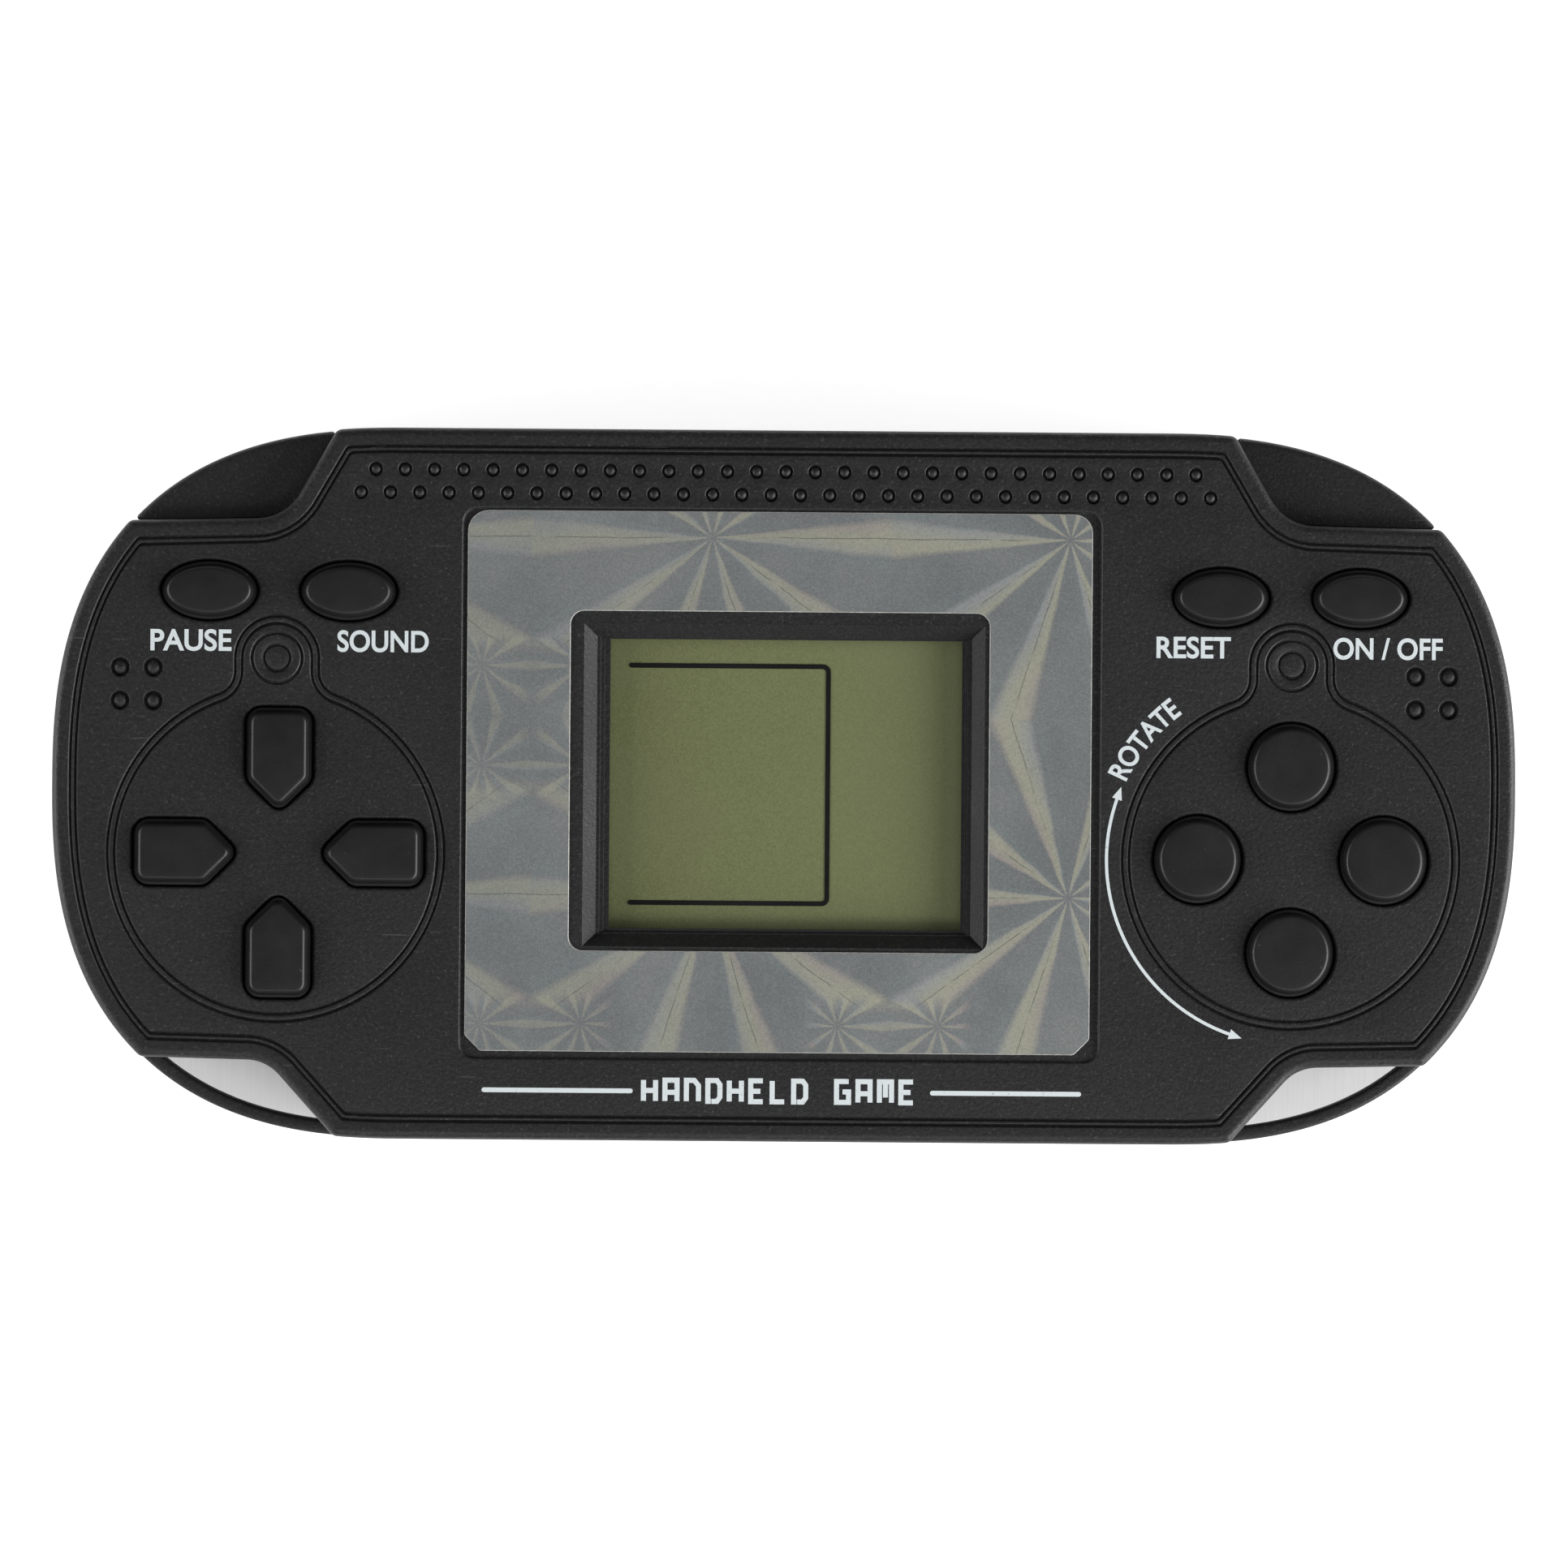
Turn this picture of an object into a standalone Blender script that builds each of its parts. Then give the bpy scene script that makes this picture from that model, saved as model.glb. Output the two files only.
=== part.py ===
"""Handheld LCD brick game, lying on its back with its keys up.

+X runs along the case's length to the right, +Y towards its upper edge and +Z out of its face. The origin is
the middle of the box that holds the whole toy, at its underside. Lengths are in millimetres, and MM turns
them into metres where a mesh is made.
"""

from math import acos, atan2, copysign, cos, pi, radians, sin, sqrt, tan

import bmesh
import bpy
from mathutils import Vector

MM = 0.001
GAP = 0.3           # air between neighbouring pieces

# Case outline: straight long edges and superellipse ends
HALF_LENGTH = 65.0
HALF_HEIGHT = 31.6
END_START = 33.6    # the long edges begin to curve here
END_POWER = 2.52
END_STEPS = 20

# Stepped corners of the front shell: shoulders above, strap loops below
SHOULDER_TOP_X = 39.9
SHOULDER_CORNER = (44.45, 23.55)
SHOULDER_SIDE_X = 58.2
SHOULDER_RADIUS = 4.5
STRAP_BOTTOM_X = 39.8
STRAP_CORNER = (45.8, -24.7)
STRAP_SIDE_X = 57.0
STRAP_RADIUS = 4.0

# Heights, from the table up
REAR_WALL = 1.6
BATTERY_ROOF = 13.5
PCB_LOW, PCB_HIGH = 13.8, 15.0
SPLIT = 9.7         # top of the rear shell's rim
SHOULDER_HIGH = 18.2
STRAP_LOW, STRAP_HIGH = 14.0, 17.2
WALL_INSIDE = 18.4  # underside of the front wall
FACE = 20.4
POCKET_FLOOR = 20.05
BEZEL_LEDGE = 19.05
KEY_TOP = 21.5

SIDE_WALL = 1.7
REAR_ROUNDING = 2.2
FACE_ROUNDING = 0.7
GROOVE_DEPTH = 0.5

# Face layout
PAD_X, PAD_Y = 45.05, -6.25
PAD_REACH = 8.25    # from the pad's middle to a round key
ARROW_TIP, ARROW_TAIL = 3.7, 13.05
ARROW_HALF_WIDTH = 3.1
ROUND_KEY_HOLE = 4.05
FUNCTION_KEY_Y = 17.0
FUNCTION_KEY_X = (51.1, 38.75)
FUNCTION_KEY_HOLE = (4.4, 2.75)
BOSS_Y = 11.05
POCKET = (-28.6, -24.35, 28.1, 24.5)
FOIL = (-28.2, -23.7, 27.3, 24.35)
FOIL_WINDOW = (-19.0, -14.7, 18.2, 15.45)
BEZEL_OUTER = (17.8, 14.35)
BEZEL_INNER = (16.5, 13.1)
LCD_WINDOW = (15.85, 12.8)

# Keys
KEY_GAP = 0.3
KEY_FLANGE = 0.8
FLANGE_LOW, FLANGE_HIGH = 17.3, 18.1
KEY_EDGE = 0.3

# Fasteners: places of the case screws and of those that hold the circuit board
SCREW_PLACES = ((59.0, 9.0), (56.0, -17.0), (31.5, -26.0))
CASE_SCREWS = [(side * x, y) for x, y in SCREW_PLACES for side in (-1, 1)]
PCB_SCREWS = [(side * 30.5, y) for y in (19.5, -18.5) for side in (-1, 1)]
HEAD_LOW, HEAD_HIGH = 5.3, 6.8
COUNTERBORE_TOP = HEAD_LOW + 1.8
CASE_SCREW_TIP = 16.0

# Battery compartment, two AAA cells side by side
CELL_RADIUS = 5.2
CELL_LENGTH = 43.7
CELL_Z = 1.9 + CELL_RADIUS
CELL_Y = 5.6
ROOM_HALF = (26.0, 11.8)
ROOM_WALL = 2.4
ROOM_ROOF = 12.7
DOOR_EDGE = 1.2     # ledge that the door lies on
DOOR_SCREW_Y = -15.6

# Inner parts
BUZZER = (42.0, -3.0)
PCB_EDGE = [(39.0, 22.5), (41.5, 21.2), (55.8, 21.2), (55.8, -13.5), (52.7, -14.2), (52.7, -22.0)]
PANEL_HALF = (18.2, 15.4)


def vectors(points):
    return [Vector(point) for point in points]


# ---------------------------------------------------------------- outlines


def end_point(turn):
    """Point on the right end's curve, with turn from -pi/2 at its bottom to pi/2 at its top."""
    x = END_START + (HALF_LENGTH - END_START) * abs(cos(turn)) ** (2 / END_POWER)
    y = copysign(HALF_HEIGHT * abs(sin(turn)) ** (2 / END_POWER), turn)
    return x, y


def end_turn(x):
    """The turn, 0 to pi/2, at which the end's curve passes x."""
    return acos(((x - END_START) / (HALF_LENGTH - END_START)) ** (END_POWER / 2))


def end_run(first, last):
    """Points along the end's curve from one turn to another."""
    steps = max(2, round(END_STEPS * abs(last - first) / pi))
    return [end_point(first + (last - first) * i / steps) for i in range(steps + 1)]


def arc(centre, radius, first, last, steps):
    """Points on a circle from one angle to another, in radians."""
    turns = [first + (last - first) * i / steps for i in range(steps + 1)]
    return [(centre[0] + radius * cos(turn), centre[1] + radius * sin(turn)) for turn in turns]


def fillet(before, corner, after, radius, steps=4):
    """The arc that rounds a corner between two straight lines."""
    before, corner, after = vectors((before, corner, after))
    out, on = (before - corner).normalized(), (after - corner).normalized()
    half = out.angle(on) / 2
    centre = corner + (out + on).normalized() * (radius / sin(half))
    start, end = corner + out * (radius / tan(half)) - centre, corner + on * (radius / tan(half)) - centre
    first = atan2(start.y, start.x)
    sweep = (atan2(end.y, end.x) - first + pi) % (2 * pi) - pi
    return arc(centre, radius, first, first + sweep, steps)


def rounded(corners, radius, steps=4):
    """A closed outline with every corner rounded."""
    count = len(corners)
    points = []
    for i, corner in enumerate(corners):
        points += fillet(corners[i - 1], corner, corners[(i + 1) % count], radius, steps)
    return points


def rectangle(low_x, low_y, high_x, high_y, radius=0.0, steps=3):
    corners = [(low_x, low_y), (high_x, low_y), (high_x, high_y), (low_x, high_y)]
    return rounded(corners, radius, steps) if radius else corners


def mirrored(right):
    """A closed outline from its right half, which runs from the top to the bottom."""
    left = [(-x, y) for x, y in reversed(right)]
    return right + left


def shoulder_step():
    top, side = end_point(end_turn(SHOULDER_TOP_X)), end_point(end_turn(SHOULDER_SIDE_X))
    return [top, *fillet(top, SHOULDER_CORNER, side, SHOULDER_RADIUS), side]


def strap_step():
    side, bottom = end_point(-end_turn(STRAP_SIDE_X)), end_point(-end_turn(STRAP_BOTTOM_X))
    return [side, *fillet(side, STRAP_CORNER, bottom, STRAP_RADIUS), bottom]


def case_outline(shoulders_cut, straps_cut):
    """The case seen from the front, with or without its stepped corners."""
    high, low = pi / 2, -pi / 2
    right = []
    if shoulders_cut:
        right += end_run(high, end_turn(SHOULDER_TOP_X))[:-1] + shoulder_step()[:-1]
        high = end_turn(SHOULDER_SIDE_X)
    if straps_cut:
        right += end_run(high, -end_turn(STRAP_SIDE_X))[:-1] + strap_step()[:-1]
        high = -end_turn(STRAP_BOTTOM_X)
    right += end_run(high, low)
    return mirrored(right)


def distance_to(outline, point):
    """Shortest way from a point to a closed outline."""
    nearest = []
    for i, end in enumerate(outline):
        start = outline[i - 1]
        along = end - start
        share = max(0.0, min(1.0, (point - start).dot(along) / along.length_squared))
        nearest.append((point - start - along * share).length)
    return min(nearest)


def inset(outline, distance):
    """A closed clockwise outline moved inwards, or outwards where distance is negative."""
    outline = vectors(outline)
    kept = []
    for i, point in enumerate(outline):
        before, after = point - outline[i - 1], outline[(i + 1) % len(outline)] - point
        first, second = (Vector((run.y, -run.x)).normalized() for run in (before, after))
        moved = point + (first + second) * (distance / (1 + first.dot(second)))
        if distance_to(outline, moved) > abs(distance) - 0.02:
            kept.append(tuple(moved))
    return kept


def clockwise(outline):
    area = sum(outline[i - 1][0] * y - x * outline[i - 1][1] for i, (x, y) in enumerate(outline))
    return outline if area < 0 else outline[::-1]


def keyhole(radius, neck, blend, side):
    """A round pad with a narrow neck that runs up to a round end."""
    blend_y = sqrt((radius + blend) ** 2 - (neck + blend) ** 2)
    meets = atan2(blend_y, neck + blend)
    right = arc((0, BOSS_Y - PAD_Y), neck, pi / 2, 0, 6)
    right += arc((neck + blend, blend_y), blend, pi, meets + pi, 4)
    right += arc((0, 0), radius, meets, -pi / 2, 22)[1:]
    return [(side * PAD_X + x, PAD_Y + y) for x, y in mirrored(right)[:-1]]


def arrow_outline(turn):
    """A key like a home plate, whose tip points back at the pad's middle. Turn is the way it lies."""
    half = ARROW_HALF_WIDTH
    tail = (ARROW_TAIL - ARROW_TIP) / 2
    corners = [(-tail, 0), (half - tail, half), (tail, half), (tail, -half), (half - tail, -half)]
    points = []
    for i, radius in enumerate((0.8, 0.6, 1.0, 1.0, 0.6)):
        points += fillet(corners[i - 1], corners[i], corners[(i + 1) % 5], radius, 2)
    way = Vector((cos(radians(turn)), sin(radians(turn))))
    return clockwise([(x * way.x - y * way.y, x * way.y + y * way.x) for x, y in points])


def ellipse(half_x, half_y, steps=24):
    turns = [-2 * pi * i / steps for i in range(steps)]
    return [(half_x * cos(turn), half_y * sin(turn)) for turn in turns]


def placed(outline, x, y):
    return [(x + px, y + py) for px, py in outline]


# ---------------------------------------------------------------- objects


def collection(name):
    made = bpy.data.collections.new(name)
    bpy.context.scene.collection.children.link(made)
    return made


def material(name, color, roughness, metallic=0.0, alpha=1.0):
    made = bpy.data.materials.new(name)
    made.use_nodes = True
    shader = made.node_tree.nodes["Principled BSDF"]
    shader.inputs["Base Color"].default_value = (*color, 1)
    shader.inputs["Roughness"].default_value = roughness
    shader.inputs["Metallic"].default_value = metallic
    shader.inputs["Alpha"].default_value = alpha
    return made


def as_object(name, mesh, location=(0, 0, 0)):
    made = bpy.data.objects.new(name, mesh)
    made.location = Vector(location) * MM
    HELPERS.objects.link(made)
    made.hide_render = True
    made.display_type = "WIRE"
    return made


def as_part(made, kind):
    """Turns a helper into a sub-part of the toy."""
    HELPERS.objects.unlink(made)
    PARTS.objects.link(made)
    made.hide_render = False
    made.display_type = "TEXTURED"
    made.data.materials.clear()
    made.data.materials.append(kind)
    return made


def edited(made, change):
    """Runs a bmesh edit on an object's mesh, and turns its faces outwards."""
    edit = bmesh.new()
    edit.from_mesh(made.data)
    change(edit)
    bmesh.ops.recalc_face_normals(edit, faces=edit.faces)
    edit.to_mesh(made.data)
    edit.free()
    return made


def converted(name, guide, height=0.0, location=(0, 0, 0)):
    """A curve object made a mesh whose caps are welded to its sides, raised to its height."""
    bpy.context.scene.collection.objects.link(guide)
    bpy.context.view_layer.update()
    graph = bpy.context.evaluated_depsgraph_get()
    mesh = bpy.data.meshes.new_from_object(guide.evaluated_get(graph))
    curve = guide.data
    bpy.data.objects.remove(guide)
    bpy.data.curves.remove(curve)
    mesh.name = name
    made = as_object(name, mesh, location)

    def weld(edit):
        bmesh.ops.remove_doubles(edit, verts=edit.verts, dist=1e-7)
        bmesh.ops.translate(edit, verts=edit.verts, vec=(0, 0, height * MM))

    return edited(made, weld)


def plate(name, loops, low, high, location=(0, 0, 0)):
    """A flat outline given a thickness. Loops inside the first are holes in it."""
    curve = bpy.data.curves.new(name, "CURVE")
    curve.dimensions = "2D"
    curve.fill_mode = "BOTH"
    curve.extrude = (high - low) / 2 * MM
    for loop in loops:
        spline = curve.splines.new("POLY")
        spline.points.add(len(loop) - 1)
        for knot, (x, y) in zip(spline.points, loop):
            knot.co = (x * MM, y * MM, 0, 1)
        spline.use_cyclic_u = True
    return converted(name, bpy.data.objects.new(name, curve), (low + high) / 2, location)


def box(name, low, high):
    made = as_object(name, bpy.data.meshes.new(name))
    low, high = Vector(low) * MM, Vector(high) * MM

    def fill(edit):
        bmesh.ops.create_cube(edit, size=1)
        bmesh.ops.scale(edit, verts=edit.verts, vec=high - low)
        bmesh.ops.translate(edit, verts=edit.verts, vec=(low + high) / 2)

    return edited(made, fill)


def tapered_box(name, low_half, high_half, low, high):
    """A box about the Z axis whose top is larger than its bottom."""
    made = box(name, (-low_half[0], -low_half[1], low), (low_half[0], low_half[1], high))
    for corner in made.data.vertices:
        if corner.co.z > (low + high) / 2 * MM:
            corner.co.x = copysign(high_half[0] * MM, corner.co.x)
            corner.co.y = copysign(high_half[1] * MM, corner.co.y)
    return made


def cylinder(name, radius, low, high, x=0.0, y=0.0, top_radius=None, sides=16):
    made = as_object(name, bpy.data.meshes.new(name), (x, y, 0))

    def fill(edit):
        bmesh.ops.create_cone(
            edit, cap_ends=True, segments=sides, radius1=radius * MM,
            radius2=(top_radius or radius) * MM, depth=(high - low) * MM,
        )
        bmesh.ops.translate(edit, verts=edit.verts, vec=(0, 0, (low + high) / 2 * MM))

    return edited(made, fill)


def turned(name, profile, location=(0, 0, 0), sides=20):
    """A solid of revolution about Z. The profile's (radius, height) points run down its outer side."""
    mesh = bpy.data.meshes.new(name)
    points = [(radius * MM, 0, height * MM) for radius, height in profile]
    mesh.from_pydata(points, [(i, i + 1) for i in range(len(points) - 1)], [])
    made = as_object(name, mesh, location)
    screw = made.modifiers.new("turn", "SCREW")
    screw.steps = screw.render_steps = sides
    screw.use_merge_vertices = True
    screw.merge_threshold = 1e-6
    return made


def tube(name, points, radius):
    """A round wire or coil through these points."""
    curve = bpy.data.curves.new(name, "CURVE")
    curve.dimensions = "3D"
    curve.bevel_depth = radius * MM
    curve.bevel_resolution = 1
    curve.use_fill_caps = True
    spline = curve.splines.new("POLY")
    spline.points.add(len(points) - 1)
    for knot, point in zip(spline.points, points):
        knot.co = (*(Vector(point) * MM), 1)
    return converted(name, bpy.data.objects.new(name, curve))


def combine(target, other, operation):
    change = target.modifiers.new(other.name, "BOOLEAN")
    change.object = other
    change.operation = operation


def add(target, *others):
    for other in others:
        combine(target, other, "UNION")


def cut(target, *others):
    for other in others:
        combine(target, other, "DIFFERENCE")


def round_rim(made, level, width, segments):
    """Rounds the rim of a plate at one of its two heights."""

    def change(edit):
        bmesh.ops.dissolve_limit(edit, angle_limit=radians(0.3), verts=edit.verts, edges=edit.edges)
        rim = [edge for edge in edit.edges if all(abs(end.co.z - level * MM) < 1e-6 for end in edge.verts)]
        bmesh.ops.bevel(
            edit, geom=rim, offset=width * MM, segments=segments, profile=0.5, affect="EDGES",
            clamp_overlap=False,
        )

    return edited(made, change)


# ---------------------------------------------------------------- case


def key_places():
    """Name, kind of outline and middle of each key; an arrow key also has the way that it points."""
    places = []
    for word, turn in (("right", 0), ("up", 90), ("left", 180), ("down", 270)):
        way = Vector((cos(radians(turn)), sin(radians(turn))))
        arrow = way * (ARROW_TIP + ARROW_TAIL) / 2
        places.append((f"arrow_key_{word}", arrow_outline(turn), (arrow.x - PAD_X, arrow.y + PAD_Y)))
        places.append((f"round_key_{word}", None, (PAD_X + PAD_REACH * way.x, PAD_Y + PAD_REACH * way.y)))
    outer, inner = FUNCTION_KEY_X
    for word, x in (("pause", -outer), ("sound", -inner), ("on_off", outer), ("reset", inner)):
        places.append((f"{word}_key", ellipse(*FUNCTION_KEY_HOLE), (x, FUNCTION_KEY_Y)))
    return places


def strap_bar(side):
    """The bar that closes a strap loop: a stretch of the case's outline a little inside it."""
    runs = []
    for depth in (0.15, 1.35):
        edge = vectors(inset(case_outline(False, False), depth))
        runs.append([point for point in edge if 38.0 < side * point.x < 59.0 and point.y < 0])
    ring = [tuple(point) for point in runs[0] + runs[1][::-1]]
    return plate(f"strap_bar_{'right' if side > 0 else 'left'}", [ring], STRAP_LOW, STRAP_HIGH)


def front_shell(kind):
    outline = case_outline(True, True)
    shell = round_rim(plate("front_shell", [outline], SPLIT + GAP, FACE), FACE, FACE_ROUNDING, 2)
    add(shell, strap_bar(1), strap_bar(-1))
    cut(shell, plate("front_room", [inset(outline, SIDE_WALL)], SPLIT - 2, WALL_INSIDE))
    for i, (x, y) in enumerate(CASE_SCREWS, 1):
        add(shell, cylinder(f"front_boss_{i}", 2.6, SPLIT + GAP, WALL_INSIDE + 0.5, x, y))
        cut(shell, cylinder(f"front_pilot_{i}", 1.1 + GAP, SPLIT - 2, CASE_SCREW_TIP + GAP, x, y, sides=12))
    for i, (x, y) in enumerate(PCB_SCREWS, 1):
        add(shell, cylinder(f"pcb_post_{i}", 2.0, PCB_HIGH + GAP, WALL_INSIDE + 0.5, x, y, sides=12))
        cut(shell, cylinder(f"pcb_pilot_{i}", 0.8 + GAP, PCB_HIGH - 2, 17.5, x, y, sides=10))
    lcd_x, lcd_y = LCD_WINDOW
    floor = FACE - GROOVE_DEPTH
    cut(
        shell,
        plate("border_groove", [inset(outline, 1.5), inset(outline, 2.25)], floor, FACE + 1),
        plate("left_groove", [keyhole(15.1, 3.85, 2.0, -1), keyhole(14.2, 2.95, 2.9, -1)], floor, FACE + 1),
        plate("right_groove", [keyhole(15.1, 3.85, 2.0, 1), keyhole(14.2, 2.95, 2.9, 1)], floor, FACE + 1),
        plate("foil_pocket", [rectangle(*POCKET, 1.3)], POCKET_FLOOR, FACE + 1),
        tapered_box("bezel", BEZEL_INNER, [2 * a - b for a, b in zip(BEZEL_OUTER, BEZEL_INNER)], BEZEL_LEDGE,
                    2 * POCKET_FLOOR - BEZEL_LEDGE),
        plate("lcd_opening", [rectangle(-lcd_x, -lcd_y, lcd_x, lcd_y, 0.5)], WALL_INSIDE - 1, FACE),
    )
    holes = []
    for name, hole, (x, y) in key_places():
        holes.append(placed(hole or ellipse(ROUND_KEY_HOLE, ROUND_KEY_HOLE), x, y))
    cut(shell, plate("key_holes", holes, WALL_INSIDE - 1, FACE + 1))
    return as_part(shell, kind)


def shoulder_room(side):
    """The hollow in a raised shoulder, open below into the case."""
    ring = shoulder_step() + end_run(end_turn(SHOULDER_SIDE_X), end_turn(SHOULDER_TOP_X))[1:-1]
    ring = inset(clockwise([(side * x, y) for x, y in ring]), SIDE_WALL + GAP)
    name = f"shoulder_room_{'right' if side > 0 else 'left'}"
    return plate(name, [ring], SPLIT - 1, SHOULDER_HIGH - SIDE_WALL)


def rear_shell(kind):
    outline = case_outline(False, True)
    shell = plate("rear_shell", [outline], 0, SHOULDER_HIGH)
    round_rim(shell, SHOULDER_HIGH, 1.0, 2)
    round_rim(shell, 0, REAR_ROUNDING, 3)
    cut(
        shell,
        plate("front_shell_room", [inset(case_outline(True, True), -GAP)], SPLIT, FACE + 2),
        plate("rear_room", [inset(outline, SIDE_WALL)], REAR_WALL, SPLIT + 0.2),
        shoulder_room(1),
        shoulder_room(-1),
    )
    wall_x, wall_y = (half + ROOM_WALL for half in ROOM_HALF)
    ledge_x, ledge_y = (half + DOOR_EDGE for half in ROOM_HALF)
    add(
        shell,
        box("battery_walls", (-wall_x, -wall_y, 1.0), (wall_x, wall_y, BATTERY_ROOF)),
        cylinder("door_screw_boss", 4.6, 1.0, 9.0, 0, DOOR_SCREW_Y),
    )
    cut(
        shell,
        box("battery_room", (-ROOM_HALF[0], -ROOM_HALF[1], -1), (*ROOM_HALF, ROOM_ROOF)),
        box("door_recess", (-ledge_x, -ledge_y, -1), (ledge_x, ledge_y, 1.55)),
        cylinder("door_ear_recess", 3.6, -1, 2.5, 0, DOOR_SCREW_Y),
        cylinder("door_screw_pilot", 1.1, 1, 7.5, 0, DOOR_SCREW_Y, sides=12),
    )
    for i, (x, y) in enumerate(CASE_SCREWS, 1):
        add(shell, cylinder(f"rear_post_{i}", 3.6, 1.0, SPLIT, x, y))
        cut(
            shell,
            cylinder(f"counterbore_{i}", 2.5, -1, COUNTERBORE_TOP, x, y),
            cylinder(f"screw_way_{i}", 1.1 + GAP, 1, SPLIT + 1, x, y, sides=12),
        )
    for i, (x, y) in enumerate([(0, 0), *arc((0, 0), 4.0, 0, 5 * pi / 3, 5)], 1):
        cut(shell, cylinder(f"sound_hole_{i}", 0.7, -1, 3, BUZZER[0] + x, BUZZER[1] + y, sides=8))
    return as_part(shell, kind)


# ---------------------------------------------------------------- battery door and fasteners


def battery_door(kind):
    edge_x, edge_y = (half + DOOR_EDGE - GAP for half in ROOM_HALF)
    door = box("battery_door", (-edge_x, -edge_y, 0.2), (edge_x, edge_y, 1.25))
    add(door, cylinder("door_ear", 3.3, 0.2, 2.2, 0, DOOR_SCREW_Y))
    add(door, box("door_neck", (-2.2, DOOR_SCREW_Y + 1, 0.2), (2.2, -edge_y + 1, 1.1)))
    cut(
        door,
        cylinder("door_counterbore", 2.4, -1, 1.4, 0, DOOR_SCREW_Y),
        cylinder("door_screw_way", 1.1, -1, 4, 0, DOOR_SCREW_Y, sides=12),
    )
    for i in range(4):
        cut(door, box(f"grip_groove_{i + 1}", (-6, 5.0 + 1.6 * i, -1), (6, 5.8 + 1.6 * i, 0.5)))
    return as_part(door, kind)


def machine_screw(name, kind, place, head, shank, low, head_high, tip):
    """A pan-head screw whose head is below and whose tip points up."""
    profile = [(0, tip), (shank * 0.5, tip), (shank, tip - shank), (shank, head_high), (head, head_high),
               (head, low + 0.3), (head - 0.3, low), (0, low)]
    return as_part(turned(name, profile, (*place, 0), sides=12), kind)


# ---------------------------------------------------------------- keys


def grown(outline, distance):
    return inset(clockwise(outline), -distance)


def keycap(name, hole, place, kind):
    """A moulded cap with a flange that keeps it behind the front wall."""
    if hole is None:
        rim, top = ROUND_KEY_HOLE + KEY_FLANGE, ROUND_KEY_HOLE - KEY_GAP
        edge = [(top - KEY_EDGE, KEY_TOP), (top - 0.1, KEY_TOP - 0.1), (top, KEY_TOP - KEY_EDGE)]
        flange = [(top, FLANGE_HIGH), (rim, FLANGE_HIGH), (rim, FLANGE_LOW), (0, FLANGE_LOW)]
        profile = [(0, KEY_TOP), *edge, *flange]
        return as_part(turned(name, profile, (*place, 0), sides=24), kind)
    cap = plate(name, [grown(hole, -KEY_GAP)], FLANGE_LOW + 0.2, KEY_TOP, (*place, 0))
    round_rim(cap, KEY_TOP, KEY_EDGE, 1)
    add(cap, plate(f"{name}_flange", [grown(hole, KEY_FLANGE)], FLANGE_LOW, FLANGE_HIGH, (*place, 0)))
    return as_part(cap, kind)


def keymat(name, sheet, domes, kind):
    """A silicone sheet with a hollow-looking dome under each of its keys."""
    mat = plate(name, [sheet], PCB_HIGH + GAP, PCB_HIGH + GAP + 0.6)
    for i, (x, y) in enumerate(domes, 1):
        low, high = PCB_HIGH + GAP + 0.2, FLANGE_LOW - GAP
        add(mat, cylinder(f"{name}_dome_{i}", 2.3, low, high, x, y, 1.7, sides=12))
    return as_part(mat, kind)


# ---------------------------------------------------------------- inside


def main_pcb(kind):
    board = plate("main_pcb", [mirrored(PCB_EDGE)], PCB_LOW, PCB_HIGH)
    for i, (x, y) in enumerate(PCB_SCREWS, 1):
        cut(board, cylinder(f"pcb_hole_{i}", 0.8 + GAP, PCB_LOW - 1, PCB_HIGH + 1, x, y, sides=12))
    return as_part(board, kind)


def sheet(name, low, high, bottom, top, kind):
    return as_part(box(name, (*low, bottom), (*high, top)), kind)


def cell(name, y, points_right, kind):
    """An AAA cell lying along X, with its button at one end."""
    half = CELL_LENGTH / 2
    button = [(0, half + 0.8), (1.9, half + 0.8), (1.9, half)]
    upper = [(CELL_RADIUS - 0.3, half), (CELL_RADIUS, half - 0.3)]
    lower = [(CELL_RADIUS, 0.3 - half), (CELL_RADIUS - 0.3, -half), (0, -half)]
    made = turned(name, button + upper + lower, (0, y, CELL_Z))
    made.rotation_euler = (0, radians(90 if points_right else -90), 0)
    return as_part(made, kind)


def cell_spring(name, x, y, way, kind):
    """A conical contact spring that presses on a cell's flat end."""
    turns, steps = 3, 8
    points = []
    for i in range(turns * steps + 1):
        share = i / (turns * steps)
        radius = 3.6 - 1.6 * share
        turn = 2 * pi * i / steps
        points.append((x + way * 2.5 * share, y + radius * cos(turn), CELL_Z + radius * sin(turn)))
    return as_part(tube(name, points, 0.25), kind)


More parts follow.
